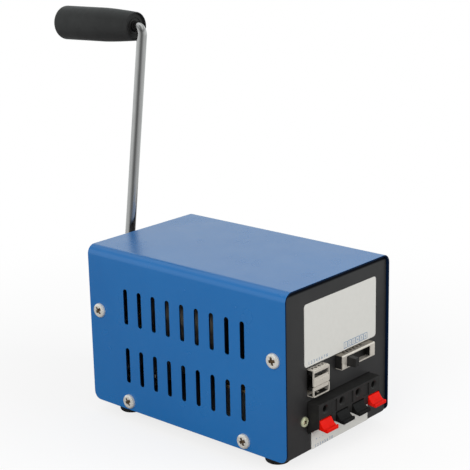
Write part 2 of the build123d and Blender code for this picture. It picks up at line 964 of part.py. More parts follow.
def gear(teeth, module, first_tooth, start, end, x, z, bore):
    face = gear_face(teeth, module, first_tooth) - Circle(bore)
    return Pos(x, end, z) * extrude(Plane.XZ * face, end - start)


def first_phase():
    # A wheel tooth points at the idler and a gap of the pinion faces it
    return idler_direction, idler_direction + 180 + 180 / first_pinion_teeth


def second_phase():
    return rotor_direction, rotor_direction + 180 + 180 / second_pinion_teeth


def make_first_wheel():
    return gear(
        first_wheel_teeth, first_module, first_phase()[0], first_start, first_end,
        0, crank_axis_height, shaft_diameter / 2,
    )


def idler_bore():
    return idler_arbor_diameter / 2 + idler_clearance


def make_idler_pinion():
    return gear(
        first_pinion_teeth, first_module, first_phase()[1], second_end, first_end + pinion_extra_face / 2,
        idler_x, idler_z, idler_bore(),
    )


def make_idler_wheel():
    return gear(
        second_wheel_teeth, second_module, second_phase()[0], second_start, second_end,
        idler_x, idler_z, idler_bore(),
    )


def make_idler_arbor():
    return rod_along_y(idler_arbor_diameter / 2, front_plate_front, rear_plate_back, idler_x, idler_z)


def make_rotor_pinion():
    half = pinion_extra_face / 2
    return gear(
        second_pinion_teeth, second_module, second_phase()[1], second_start - half, second_end + half,
        rotor_x, rotor_z, rotor_shaft_diameter / 2,
    )


def make_plate(start):
    outline = Pos(0, crank_axis_height) * Rectangle(plate_size, plate_size)
    outline = chamfer(outline.vertices(), plate_corner)
    outline -= Pos(0, crank_axis_height) * Circle(shaft_diameter / 2 + shaft_clearance)
    outline -= Pos(idler_x, idler_z) * Circle(idler_arbor_diameter / 2)
    for x, z in pillar_places():
        outline -= Pos(x, z) * RegularPolygon(pillar_screw_shank / 2 + screw_hole_gap, shank_sides)
    return Pos(0, start + plate_thickness, 0) * extrude(Plane.XZ * outline, plate_thickness)


def can_screw_places():
    return [(rotor_x, rotor_z + side * can_screw_offset) for side in (-1, 1)]


def make_rear_plate():
    return make_plate(rear_plate_front)


def make_front_plate():
    plate = make_plate(front_plate_front)
    plate -= rod_along_y(can_boss_radius, front_plate_front - 1, front_plate_back + 1, rotor_x, rotor_z)
    for x, z in can_screw_places():
        plate -= screw_hole(can_screw_shank, front_plate_front - 1, front_plate_back + 1, x, z)
    return plate


def hexagon_bar(start, end, x, z):
    return Pos(x, end, z) * extrude(Plane.XZ * RegularPolygon(pillar_across_corners / 2, 6), end - start)


def make_pillars():
    # Each pillar has a turned-down end, riveted over in front of the front plate, and a tapped rear end
    tapped_from = rear_plate_front - pillar_tapped_depth
    pillars = []
    for x, z in pillar_places():
        pillar = hexagon_bar(front_plate_back, rear_plate_front, x, z)
        pillar -= screw_hole(pillar_screw_shank, tapped_from, rear_plate_front + 1, x, z)
        neck = Plane.XZ * RegularPolygon(pillar_screw_shank / 2, shank_sides)
        pillar += Pos(x, front_plate_back, z) * extrude(neck, plate_thickness + rivet_rise)
        rivet = extrude(RegularPolygon(rivet_diameter / 2, head_sides), rivet_rise, taper=head_slope)
        pillars.append(pillar + Pos(x, front_plate_front, z) * Rot(90, 0, 0) * rivet)
    return pillars


def make_spacers():
    spacers = []
    for x, z in pillar_places():
        hole = screw_hole(pillar_screw_shank, rear_plate_back - 1, panel_inside + 1, x, z)
        spacers.append(hexagon_bar(rear_plate_back, panel_inside, x, z) - hole)
    return spacers


def make_gearbox_screws():
    # Long screws through the rear panel, the spacers and the rear plate into the pillars
    length = panel_front - rear_plate_front + pillar_tapped_depth - screw_end_room
    one = Rot(-90, 0, 0) * screw(pillar_screw_head, pillar_screw_rise, pillar_screw_shank, length)
    return [Pos(x, panel_front, z) * one for x, z in pillar_places()]


def make_generator_can():
    can = rod_along_y(can_radius, can_front, front_plate_front, rotor_x, rotor_z)
    can = chamfer(can.edges().group_by(Axis.Y)[-1], can_edge)
    boss = can_boss_radius - clip_slot_gap
    can += rod_along_y(boss, front_plate_front, front_plate_back, rotor_x, rotor_z)
    bore = rotor_shaft_diameter / 2 + shaft_clearance
    bore_start = rotor_shaft_start() - screw_end_room
    can -= rod_along_y(bore, bore_start, front_plate_back + 1, rotor_x, rotor_z)
    hole_start = front_plate_front - can_screw_depth - screw_end_room
    for x, z in can_screw_places():
        can -= screw_hole(can_screw_shank, hole_start, front_plate_front, x, z)
    return can


def rotor_shaft_start():
    return front_plate_front - rotor_shaft_seat


def make_can_screws():
    length = plate_thickness + can_screw_depth
    one = Rot(-90, 0, 0) * screw(can_screw_head, can_screw_rise, can_screw_shank, length)
    return [Pos(x, front_plate_back, z) * one for x, z in can_screw_places()]


def make_end_cap():
    # The moulded cap that closes the can, with the boss of its bearing and slots for the two brush tags
    cap = rod_along_y(can_radius - cap_step, cap_front, can_front, rotor_x, rotor_z)
    cap += rod_along_y(cap_boss_radius, cap_front - cap_boss_rise, cap_front, rotor_x, rotor_z)
    for side in (-1, 1):
        cap -= brush_tag(side, clip_slot_gap)
    return cap


def brush_tag(side, gap):
    # The flat tag of a brush, out through the end cap
    x = rotor_x + side * brush_tag_offset
    half = brush_tag_width / 2 + gap
    return block_between(
        (x - clip_thickness / 2 - gap, cap_front - brush_tag_reach, rotor_z - half),
        (x + clip_thickness / 2 + gap, can_front, rotor_z + half),
    )


def make_rotor_shaft():
    end = second_end + pinion_extra_face / 2
    return rod_along_y(rotor_shaft_diameter / 2, rotor_shaft_start(), end, rotor_x, rotor_z)


def make_board():
    board = block_between(
        (-board_width / 2, board_front, board_bottom),
        (board_width / 2, board_front + board_depth, board_top),
    )
    for x, y in standoff_places():
        board -= upright_hole(standoff_pin, x, y)
    return board


def make_standoffs():
    # One-piece supports: a hexagonal post with a pin that snaps through the board and spreads above it
    height = board_bottom - chassis_sheet
    post = extrude(RegularPolygon(standoff_across_flats / sqrt(3), 6), height)
    pin = extrude(RegularPolygon(standoff_pin / 2, shank_sides), board_thickness + standoff_cap)
    cap = extrude(RegularPolygon(standoff_pin, shank_sides), standoff_cap, taper=head_slope)
    post += Pos(0, 0, height) * pin
    post += Pos(0, 0, height + board_thickness) * cap
    return [Pos(x, y, chassis_sheet) * post for x, y in standoff_places()]


def make_capacitors():
    capacitors = []
    for radius, height, x, setback in capacitor_sizes:
        can = Cylinder(radius, height, align=(Align.CENTER, Align.CENTER, Align.MIN))
        capacitors.append(Pos(x, board_front + setback, board_top) * can)
    return capacitors


def make_inductor():
    x, setback = inductor_place
    drum = Cylinder(inductor_radius, inductor_height, align=(Align.CENTER, Align.CENTER, Align.MIN))
    return Pos(x, board_front + setback, board_top) * drum


def make_heat_sink():
    x, setback = sink_place
    y = board_front + setback
    base = block_between((-sink_width / 2, 0, 0), (sink_width / 2, sink_base, sink_height))
    for index in range(sink_fin_count):
        place = -sink_width / 2 + (sink_width - sink_fin) * index / (sink_fin_count - 1)
        base += block_between((place, 0, 0), (place + sink_fin, sink_depth, sink_height))
    return Pos(x, y, board_top) * base


def make_regulator():
    # Three flat legs carry the body, whose back lies on the heat sink
    x, setback = sink_place
    body = block_between(
        (-regulator_width / 2, -regulator_depth, regulator_lift),
        (regulator_width / 2, 0, regulator_lift + regulator_height),
    )
    for index in (-1, 0, 1):
        middle = index * regulator_leg_pitch
        body += block_between(
            (middle - regulator_leg_width / 2, -regulator_depth / 2, 0),
            (middle + regulator_leg_width / 2, -regulator_depth / 2 + clip_thickness, regulator_lift),
        )
    return Pos(x, board_front + setback, board_top) * body


def all_pieces():
    pieces = {
        "cover": make_cover(),
        "chassis": make_chassis(),
        "cover_screws": make_cover_screws(),
        "feet": make_feet(),
        "foot_screws": make_foot_screws(),
        "front_label": make_label(label_left, label_right, label_bottom, label_top),
        "terminal_label": make_label(strip_left, strip_right, strip_bottom, block_bottom - panel_cutout_gap),
        "usb_shell": make_usb_shell(),
        "usb_core": make_usb_core(),
        "usb_contacts": make_usb_contacts(),
        "switch_frame": make_switch_frame(),
        "switch_base": make_switch_base(),
        "switch_pins": make_switch_pins(),
        "switch_knob": make_switch_knob(),
        "terminal_body": make_terminal_body(),
        "terminal_clips": make_terminal_clips(),
        "terminal_screws": make_terminal_screws(),
        "crank_rod": make_crank_rod(),
        "crank_shaft": make_crank_shaft(),
        "crank_collar": make_crank_collar(),
        "collar_screw": make_collar_screw(),
        "grip_ring": make_grip_ring(),
        "grip": make_grip(),
        "grip_bush": make_grip_bush(),
        "first_wheel": make_first_wheel(),
        "idler_pinion": make_idler_pinion(),
        "idler_wheel": make_idler_wheel(),
        "idler_arbor": make_idler_arbor(),
        "rotor_pinion": make_rotor_pinion(),
        "rotor_shaft": make_rotor_shaft(),
        "gearbox_rear_plate": make_rear_plate(),
        "gearbox_front_plate": make_front_plate(),
        "gearbox_pillars": make_pillars(),
        "gearbox_spacers": make_spacers(),
        "gearbox_screws": make_gearbox_screws(),
        "generator_can": make_generator_can(),
        "generator_end_cap": make_end_cap(),
        "brush_tags": [brush_tag(side, 0) for side in (-1, 1)],
        "can_screws": make_can_screws(),
        "circuit_board": make_board(),
        "board_standoffs": make_standoffs(),
        "capacitors": make_capacitors(),
        "inductor": make_inductor(),
        "heat_sink": make_heat_sink(),
        "regulator": make_regulator(),
    }
    for index, x in enumerate(terminal_places(), start=1):
        pieces[f"terminal_lever_{index}"] = make_lever(x)
    return pieces


def solids_of(piece):
    if isinstance(piece, list):
        return [solid for part in piece for solid in part.solids()]
    return list(piece.solids())


def main():
    pieces = {name: solids_of(piece) for name, piece in all_pieces().items()}
    # The origin lies on the floor, half way from the lips of the levers to the end of the grip
    boxes = [solid.bounding_box() for solids in pieces.values() for solid in solids]
    middle = (min(box.min.Y for box in boxes) + max(box.max.Y for box in boxes)) / 2
    print("middle of the whole length, in the case's own y:", round(middle, 4))
    to_floor = Location((0, -middle, foot_height))
    os.makedirs("parts", exist_ok=True)
    for name, solids in pieces.items():
        moved = [solid.moved(to_floor) for solid in solids]
        export_step(moved[0] if len(moved) == 1 else Compound(children=moved), f"parts/{name}.step")


main()
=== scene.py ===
import json
import math
import bmesh
import bpy
from mathutils import Matrix, Vector


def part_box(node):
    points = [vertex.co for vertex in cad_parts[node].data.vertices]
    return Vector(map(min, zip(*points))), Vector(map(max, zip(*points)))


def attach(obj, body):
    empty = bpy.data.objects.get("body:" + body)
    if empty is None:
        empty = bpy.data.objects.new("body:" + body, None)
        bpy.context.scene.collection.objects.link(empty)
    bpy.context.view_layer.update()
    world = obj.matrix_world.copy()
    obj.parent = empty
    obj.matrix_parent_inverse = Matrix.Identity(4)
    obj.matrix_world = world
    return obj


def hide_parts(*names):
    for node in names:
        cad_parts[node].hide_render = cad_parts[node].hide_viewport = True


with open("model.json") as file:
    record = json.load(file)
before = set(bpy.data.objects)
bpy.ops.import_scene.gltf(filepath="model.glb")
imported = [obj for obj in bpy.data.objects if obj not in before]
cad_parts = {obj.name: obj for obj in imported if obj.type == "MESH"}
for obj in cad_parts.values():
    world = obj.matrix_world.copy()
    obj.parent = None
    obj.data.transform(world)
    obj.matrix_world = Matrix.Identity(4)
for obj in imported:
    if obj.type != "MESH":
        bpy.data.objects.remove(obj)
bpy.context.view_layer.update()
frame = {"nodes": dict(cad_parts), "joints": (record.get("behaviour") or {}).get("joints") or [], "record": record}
nodes = frame["nodes"]
joints = {joint["name"]: joint for joint in frame["joints"]}
mm = 0.001
print("frame loaded:", len(nodes), "nodes")


# ---- small tools for objects and shader nodes

def placed(name, data):
    # A new object with this data, in the scene
    item = bpy.data.objects.new(name, data)
    bpy.context.scene.collection.objects.link(item)
    return item


def pieceOf(name, shape):
    data = bpy.data.meshes.new(name)
    shape.to_mesh(data)
    shape.free()
    return placed(name, data)


def addNode(tree, kind, feeds, out=0, **settings):
    # Each input takes a fixed value or the output of another node; one output comes back
    node = tree.nodes.new("ShaderNode" + kind)
    for setting, value in settings.items():
        setattr(node, setting, value)
    for place, value in feeds.items():
        if isinstance(value, bpy.types.NodeSocket):
            tree.links.new(value, node.inputs[place])
        else:
            node.inputs[place].default_value = value
    return node.outputs[out]


def colourRamp(tree, amount, stops):
    ramp = tree.nodes.new("ShaderNodeValToRGB")
    elements = ramp.color_ramp.elements
    while len(elements) < len(stops):
        elements.new(0.5)
    for element, (place, colour) in zip(elements, stops):
        element.position = place
        element.color = (*colour, 1)
    tree.links.new(amount, ramp.inputs["Fac"])
    return ramp.outputs["Color"]


def grey(level):
    return (level, level, level, 1)


# ---- camera, floor and light

camera = {
    "place": (-0.57672, -0.55272, 0.33585),
    "right": (0.65998, -0.75100, -0.02065),
    "up": (0.21876, 0.16581, 0.96159),
    "lens": 102.99,
    "sensor": 36.0,
    "nearest": 0.05,
}


def makeCamera():
    data = bpy.data.cameras.new("camera")
    data.lens = camera["lens"]
    data.sensor_width = camera["sensor"]
    data.clip_start = camera["nearest"]
    right, up = Vector(camera["right"]), Vector(camera["up"])
    turn = Matrix((right, up, right.cross(up))).transposed().to_4x4()
    viewer = placed("camera", data)
    viewer.matrix_world = Matrix.Translation(camera["place"]) @ turn
    bpy.context.scene.camera = viewer
    bpy.context.scene.view_settings.view_transform = "Standard"


lamps = {
    # place, what it points at, size, watts
    "sideSoftbox": ((-1.15, -0.35, 0.6), (0, 0, 0.06), 0.8, 10.0),
    "frontSoftbox": ((0.35, -1.15, 0.5), (0, 0, 0.06), 0.7, 7.3),
    "topSoftbox": ((0.1, 0.3, 1.2), (0, 0, 0.05), 0.9, 0.6),
}


def makeLamps():
    for name, (place, aim, size, watts) in lamps.items():
        data = bpy.data.lights.new(name, "AREA")
        data.size = size
        data.energy = watts
        lamp = placed(name, data)
        lamp.location = place
        lamp.rotation_euler = (Vector(aim) - Vector(place)).to_track_quat("-Z", "Y").to_euler()
        lamp.visible_glossy = False


studio = {
    "lightLevel": 0.48,
    # brightness of the room as a mirror sees it, from behind the object (0) to the camera's side (1)
    "room": ((0.0, 1.0), (0.2, 1.0), (0.5, 0.86), (0.75, 0.74), (0.92, 0.46), (0.99, 0.2)),
    # and from straight below (0) over the horizon (0.5) to a bright ceiling (1)
    "heights": ((0.0, 0.8), (0.47, 0.8), (0.49, 1.0), (0.71, 1.0), (0.78, 0.48), (0.83, 0.48), (0.89, 1.0)),
    "roomRed": 0.93,        # share of red in the room's light
    "cameraSide": (-0.7473, -0.6645, 0.0),
    "floorSeen": 0.985,
    "floorOther": 0.34,
    "floorRoughness": 0.9,
    "floorRadius": 0.5,
    "floorSides": 96,
    "floorFade": (0.08, 0.4),
    "floorGlow": 0.76,
}


def makeWorld():
    # Plain white where it is seen, a room with a darker side in reflections, and softer where it only lights
    world = bpy.data.worlds.new("studio")
    bpy.context.scene.world = world
    world.use_nodes = True
    tree = world.node_tree
    heading = tree.nodes.new("ShaderNodeTexCoord").outputs["Generated"]
    level = addNode(tree, "VectorMath", {0: heading, 1: (1, 1, 0)}, operation="MULTIPLY")
    flat = addNode(tree, "VectorMath", {0: level}, operation="NORMALIZE")
    side = addNode(tree, "VectorMath", {0: flat, 1: studio["cameraSide"]}, "Value", operation="DOT_PRODUCT")
    share = addNode(tree, "MapRange", {"Value": side, "From Min": -1})
    red = studio["roomRed"]
    room = colourRamp(tree, share, [(place, (red * value, value, value)) for place, value in studio["room"]])
    height = addNode(tree, "SeparateXYZ", {0: heading}, "Z")
    rise = addNode(tree, "MapRange", {"Value": height, "From Min": -1})
    ceiling = colourRamp(tree, rise, [(place, (value, value, value)) for place, value in studio["heights"]])
    walls = addNode(tree, "MixRGB", {"Fac": 1, "Color1": room, "Color2": ceiling}, blend_type="MULTIPLY")
    rays = tree.nodes.new("ShaderNodeLightPath").outputs
    mirrored = addNode(tree, "MixRGB", {
        "Fac": rays["Is Glossy Ray"], "Color1": grey(studio["lightLevel"]), "Color2": walls,
    })
    seen = addNode(tree, "MixRGB", {"Fac": rays["Is Camera Ray"], "Color1": mirrored, "Color2": grey(1)})
    tree.links.new(seen, tree.nodes["Background"].inputs["Color"])


def makeFloor():
    # A round sheet that keeps the object's shadow and turns to plain white towards its rim
    shape = bmesh.new()
    bmesh.ops.create_circle(shape, cap_ends=True, segments=studio["floorSides"], radius=studio["floorRadius"])
    floor = pieceOf("floor", shape)
    material = bpy.data.materials.new("floorWhite")
    material.use_nodes = True
    tree = material.node_tree
    matt = tree.nodes["Principled BSDF"]
    matt.inputs["Roughness"].default_value = studio["floorRoughness"]
    matt.inputs["Specular IOR Level"].default_value = 0.0
    seen = tree.nodes.new("ShaderNodeLightPath").outputs["Is Camera Ray"]
    shade = addNode(tree, "MixRGB", {
        "Fac": seen, "Color1": grey(studio["floorOther"]), "Color2": grey(studio["floorSeen"]),
    })
    tree.links.new(shade, matt.inputs["Base Color"])
    place = tree.nodes.new("ShaderNodeTexCoord").outputs["Object"]
    distance = addNode(tree, "VectorMath", {0: place}, "Value", operation="LENGTH")
    start, end = studio["floorFade"]
    fade = addNode(tree, "MapRange", {
        "Value": distance, "From Min": start, "From Max": end, "To Min": studio["floorGlow"],
    }, interpolation_type="SMOOTHSTEP")
    share = addNode(tree, "Math", {0: fade, 1: seen}, operation="MULTIPLY")
    white = addNode(tree, "Emission", {"Strength": 1.0})
    mix = addNode(tree, "MixShader", {"Fac": share, 1: matt.outputs[0], 2: white})
    tree.links.new(mix, tree.nodes["Material Output"].inputs["Surface"])
    floor.data.materials.append(material)


makeCamera()
makeLamps()
makeWorld()
makeFloor()
print("studio ready")


# ---- finishes

looks = {
    # shades: darkest, lightest, grain; gloss: smoothest, roughest, grain; relief: depth, strength, grain
    # along: how the grain is stretched on x, y and z
    "bluePaint": {        # gloss stove enamel with a trace of orange peel
        "shades": ((0.001, 0.128, 0.396), (0.002, 0.141, 0.422), 14),
        "gloss": (0.22, 0.28, 60), "relief": (0.000005, 0.03, 500), "reliefDetail": 1,
    },
    "blackPaint": {        # satin powder coat with a fine texture
        "shades": ((0.018, 0.0175, 0.018), (0.025, 0.0245, 0.025), 40),
        "gloss": (0.36, 0.46, 120), "relief": (0.00003, 0.35, 2600),
    },
    "zincPlate": {
        "metal": 0.45, "shades": ((0.74, 0.70, 0.62), (0.90, 0.88, 0.83), 300),
        "gloss": (0.22, 0.34, 900), "relief": (0.00001, 0.1, 1800),
    },
    "recessShadeZinc": {        # painted shade: a dark brownish zinc on the deep faces of the cross, for the shade down in the recess
        "metal": 0.3, "shades": ((0.045, 0.026, 0.012), (0.15, 0.095, 0.05), 900),
        "gloss": (0.35, 0.5, 900), "relief": (0.00001, 0.2, 1800),
    },
    "yellowZinc": {        # zinc with a greenish yellow passivation
        "metal": 0.5, "shades": ((0.66, 0.68, 0.42), (0.86, 0.88, 0.68), 300),
        "gloss": (0.2, 0.32, 900), "relief": (0.00001, 0.1, 1800),
    },
    "footRubber": {
        "specular": 0.3, "shades": ((0.008, 0.008, 0.009), (0.018, 0.018, 0.019), 200),
        "gloss": (0.6, 0.75, 300), "relief": (0.00003, 0.4, 3000),
    },
    "labelFilm": {        # matt printed film, faintly mottled
        "specular": 0.3, "shades": ((0.655, 0.65, 0.615), (0.675, 0.67, 0.635), 350),
        "gloss": (0.5, 0.56, 500), "relief": (0.000004, 0.1, 2500),
    },
    "printInk": {
        "specular": 0.3, "shades": ((0.05, 0.16, 0.33), (0.09, 0.22, 0.40), 900),
        "gloss": (0.4, 0.5, 700),
    },
    "nickelPlate": {        # warm satin sheet with fine scuffs
        "metal": 0.5, "shades": ((0.76, 0.71, 0.63), (0.81, 0.76, 0.68), 260),
        "gloss": (0.27, 0.32, 240), "relief": (0.000001, 0.02, 300),
    },
    "dullTin": {        # the same sheet, darker and duller, for the switch's roof
        "metal": 0.5, "shades": ((0.21, 0.185, 0.15), (0.27, 0.24, 0.20), 260),
        "gloss": (0.4, 0.5, 900), "relief": (0.000002, 0.05, 700),
    },
    "mouldedBlack": {
        "specular": 0.26, "shades": ((0.014, 0.0135, 0.013), (0.020, 0.0195, 0.019), 160),
        "gloss": (0.33, 0.45, 400), "relief": (0.00003, 0.25, 2200),
    },
    "leverBlack": {        # blacker and duller than the block it sits in
        "specular": 0.1, "shades": ((0.005, 0.005, 0.005), (0.009, 0.009, 0.009), 160),
        "gloss": (0.3, 0.42, 400), "relief": (0.00002, 0.15, 2000),
    },
    "mouldedRed": {
        "specular": 0.15, "shades": ((0.64, 0.005, 0.001), (0.74, 0.008, 0.002), 160),
        "gloss": (0.3, 0.42, 400), "relief": (0.00002, 0.15, 2000),
    },
    "gripPlastic": {        # matt moulded plastic, spark-eroded
        "specular": 0.32, "shades": ((0.0155, 0.0153, 0.0152), (0.0205, 0.0202, 0.020), 120),
        "gloss": (0.44, 0.54, 300), "relief": (0.00002, 0.2, 2600),
    },
    "rodSteel": {        # bright drawn bar: fine lines run up the arm
        "metal": 1.0, "along": (1, 1, 0.05), "shades": ((0.50, 0.475, 0.47), (0.58, 0.55, 0.545), 900),
        "gloss": (0.14, 0.22, 1200), "relief": (0.000004, 0.12, 2600),
    },
    "gearBrass": {
        "metal": 1.0, "shades": ((0.62, 0.44, 0.17), (0.80, 0.62, 0.28), 300),
        "gloss": (0.25, 0.4, 700), "relief": (0.00001, 0.25, 2400),
    },
    "platedAluminium": {
        "metal": 1.0, "along": (1, 1, 0.1), "shades": ((0.44, 0.44, 0.45), (0.58, 0.58, 0.59), 500),
        "gloss": (0.32, 0.48, 900), "relief": (0.00001, 0.3, 2400),
    },
    "canSteel": {        # plain rolled shell with a brownish protective film
        "metal": 0.85, "shades": ((0.22, 0.19, 0.15), (0.36, 0.32, 0.27), 180),
        "gloss": (0.3, 0.5, 400), "relief": (0.00002, 0.25, 1500),
    },
    "boardLaminate": {        # only its shade follows the weave
        "specular": 0.45, "shadesAlong": (1, 0.2, 1), "shades": ((0.22, 0.15, 0.06), (0.36, 0.26, 0.11), 900),
        "gloss": (0.35, 0.5, 500), "relief": (0.00001, 0.3, 2500),
    },
    "paleNylon": {
        "specular": 0.45, "subsurface": 0.1, "shades": ((0.62, 0.61, 0.55), (0.72, 0.71, 0.66), 250),
        "gloss": (0.4, 0.5, 400), "relief": (0.00001, 0.2, 1800),
    },
    "contactMetal": {
        "metal": 1.0, "shades": ((0.70, 0.50, 0.20), (0.86, 0.68, 0.34), 600),
        "gloss": (0.18, 0.3, 900), "relief": (0.00001, 0.2, 2400),
    },
    "sleeveFilm": {
        "shades": ((0.012, 0.018, 0.06), (0.02, 0.03, 0.085), 200),
        "gloss": (0.2, 0.32, 400), "relief": (0.00002, 0.2, 900),
    },
    "ferrite": {
        "specular": 0.4, "shades": ((0.03, 0.028, 0.026), (0.065, 0.06, 0.056), 500),
        "gloss": (0.55, 0.7, 700), "relief": (0.00004, 0.4, 1600),
    },
}
looks["turnedSteel"] = {**looks["rodSteel"], "along": (1, 0.08, 1)}        # turned parts lie along the case
grainSpread = (0.3, 0.7)        # the stretch of the noise that a look runs over
grainRoughness = 0.55


def grain(tree, scale, along, detail=3):
    # Noise in the piece's own metres, drawn out along an axis by a small number there
    place = tree.nodes.new("ShaderNodeTexCoord").outputs["Object"]
    spread = addNode(tree, "Mapping", {"Vector": place, "Scale": along})
    return addNode(tree, "TexNoise", {
        "Vector": spread, "Scale": scale, "Detail": detail, "Roughness": grainRoughness,
    }, "Fac")


def makeFinish(name):
    look = looks[name]
    material = bpy.data.materials.new(name)
    material.use_nodes = True
    tree = material.node_tree
    surface = tree.nodes["Principled BSDF"].inputs
    surface["Metallic"].default_value = look.get("metal", 0.0)
    surface["Specular IOR Level"].default_value = look.get("specular", 0.5)
    surface["Subsurface Weight"].default_value = look.get("subsurface", 0.0)
    along = look.get("along", (1, 1, 1))
    low, high = grainSpread
    dark, light, scale = look["shades"]
    drift = grain(tree, scale, look.get("shadesAlong", along))
    tree.links.new(colourRamp(tree, drift, ((low, dark), (high, light))), surface["Base Color"])
    smoothest, roughest, scale = look["gloss"]
    gloss = addNode(tree, "MapRange", {
        "Value": grain(tree, scale, along), "From Min": low, "From Max": high,
        "To Min": smoothest, "To Max": roughest,
    })
    tree.links.new(gloss, surface["Roughness"])
    if "relief" in look:
        depth, strength, scale = look["relief"]
        height = grain(tree, scale, along, look.get("reliefDetail", 3))
        bump = addNode(tree, "Bump", {"Height": height, "Distance": depth, "Strength": strength})
        tree.links.new(bump, surface["Normal"])
    return material


def paintShadeWhere(material, amount, shade, shine):
    # Painted shade: where the amount is full the paint turns to this dark shade, and its shine falls to the second
    # value
    tree = material.node_tree
    surface = tree.nodes["Principled BSDF"].inputs
    level = addNode(tree, "MapRange", {"Value": amount, "To Min": shine[0], "To Max": shine[1]})
    tree.links.new(level, surface["Specular IOR Level"])
    paint = surface["Base Color"].links[0].from_socket
    blend = addNode(tree, "MixRGB", {"Fac": amount, "Color1": paint, "Color2": (*shade, 1)})
    tree.links.new(blend, surface["Base Color"])


coverLow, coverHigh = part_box("cover")
coverMiddle = (coverLow.y + coverHigh.y) / 2
coverMiddleHeight = (coverLow.z + coverHigh.z) / 2
insideShadeZone = {
    "looksIn": (4.0 * mm, 12.0 * mm),        # how far a face looks in towards the case's axis
    "looksForward": (0.35, 0.7),        # how squarely a cut edge looks to the front
    "shade": (0.003, 0.012, 0.038),
    "shine": (0.8, 0.05),
}


def paintInsideShade(material):
    # Painted shade: the cover's inside and its front cut edge are darkened to nearly black, where they lie in
    # shadow
    tree = material.node_tree
    place = tree.nodes.new("ShaderNodeTexCoord").outputs
    axis = (0, 0, coverMiddleHeight)
    inward = addNode(tree, "VectorMath", {0: axis, 1: place["Object"]}, operation="SUBTRACT")
    across = addNode(tree, "VectorMath", {0: inward, 1: (1, 0, 1)}, operation="MULTIPLY")
    facing = addNode(tree, "VectorMath", {0: across, 1: place["Normal"]}, "Value", operation="DOT_PRODUCT")
    low, high = insideShadeZone["looksIn"]
    inside = addNode(tree, "MapRange", {"Value": facing, "From Min": low, "From Max": high})
    cut = addNode(tree, "VectorMath", {0: place["Normal"], 1: (0, -1, 0)}, "Value", operation="DOT_PRODUCT")
    low, high = insideShadeZone["looksForward"]
    edge = addNode(tree, "MapRange", {"Value": cut, "From Min": low, "From Max": high})
    dark = addNode(tree, "Math", {0: inside, 1: edge}, operation="MAXIMUM")
    paintShadeWhere(material, dark, insideShadeZone["shade"], insideShadeZone["shine"])


rimShadowStrip = {
    "below": (3.8 * mm, 2.8 * mm),        # under the cover's top: where it fades in, where it is full
    "shade": (0.001, 0.002, 0.004),
    "shine": (0.5, 0.03),
}


def paintShadowUnderRim(material):
    # Painted shadow: the panel turns nearly black and dull in the narrow strip under the cover's rim, where the
    # rim shades it
    tree = material.node_tree
    place = tree.nodes.new("ShaderNodeTexCoord").outputs["Object"]
    height = addNode(tree, "SeparateXYZ", {0: place}, "Z")
    start, full = rimShadowStrip["below"]
    strip = addNode(tree, "MapRange", {
        "Value": height, "From Min": coverHigh.z - start, "From Max": coverHigh.z - full,
    })
    paintShadeWhere(material, strip, rimShadowStrip["shade"], rimShadowStrip["shine"])


slotLooks = {
    "blue_paint": "bluePaint",
    "dark_paint": "blackPaint",
    "zinc_screw": "zincPlate",
    "foot_rubber": "footRubber",
    "label_film": "labelFilm",
    "nickel": "nickelPlate",
    "black_plastic": "mouldedBlack",
    "red_plastic": "mouldedRed",
    "grip_plastic": "gripPlastic",
    "rod_steel": "rodSteel",
    "gear_steel": "turnedSteel",
    "gear_brass": "gearBrass",
    "gear_plate": "platedAluminium",
    "can_steel": "canSteel",
    "board": "boardLaminate",
    "nylon": "paleNylon",
    "contact_metal": "contactMetal",
    "capacitor_sleeve": "sleeveFilm",
    "ferrite": "ferrite",
}
finishes = {slotName: makeFinish(name) for slotName, name in slotLooks.items()}
# Painted shade on the cover's inside and front cut edge
paintInsideShade(finishes["blue_paint"])
# Painted shadow on the panel under the cover's rim
paintShadowUnderRim(finishes["dark_paint"])
ink = makeFinish("printInk")
yellowScrew = makeFinish("yellowZinc")
crossShade = makeFinish("recessShadeZinc")
switchRoof = makeFinish("dullTin")
leverFinish = makeFinish("leverBlack")

for subpart in frame["record"]["subparts"]:
    carried = nodes[subpart["node"]].data.materials
    carried.clear()
    carried.append(finishes[subpart["material_slot"]])
print("finishes:", len(finishes))


# ---- small tools for the pieces

mergeReach = 1e-7


def facedPiece(name, shape):
    # A piece with all its faces turned outwards
    bmesh.ops.recalc_face_normals(shape, faces=shape.faces)
    return pieceOf(name, shape)


def shapeOf(points, faces):
    shape = bmesh.new()
    corners = [shape.verts.new(point) for point in points]
    for face in faces:
        shape.faces.new([corners[index] for index in face])
    return shape


def ringShape(rings, steps):
    # Rings of radius and height, skinned one to the next; a height may also be a function of x and y
    points, faces = [], []
    for radius, height in rings:
        for step in range(steps):
            turn = 2 * math.pi * step / steps
            x, y = radius * math.cos(turn), radius * math.sin(turn)
            points.append((x, y, height(x, y) if callable(height) else height))
    for start in range(0, len(points) - steps, steps):
        for step in range(steps):
            following = (step + 1) % steps
            faces.append((start + step, start + following, start + steps + following, start + steps + step))
    return shapeOf(points, faces)


def finalMesh(item):
    # What an object comes to with its modifiers, or once its curve or text is drawn
    bpy.context.view_layer.update()
    return bpy.data.meshes.new_from_object(item.evaluated_get(bpy.context.evaluated_depsgraph_get()))


def smoothShade(piece, sharpFrom):
    piece.data.polygons.foreach_set("use_smooth", [True] * len(piece.data.polygons))
    piece.data.set_sharp_from_angle(angle=math.radians(sharpFrom))
    return piece


def softEdges(piece, width, steps=2, sharpFrom=40):
    # Small rounded edges that catch the light
    piece.data.polygons.foreach_set("use_smooth", [True] * len(piece.data.polygons))
    bevel = piece.modifiers.new("edges", "BEVEL")
    bevel.width = width
    bevel.segments = steps
    bevel.limit_method = "ANGLE"
    bevel.angle_limit = math.radians(sharpFrom)
    bevel.miter_outer = "MITER_ARC"
    piece.modifiers.new("shading", "WEIGHTED_NORMAL")
    return piece


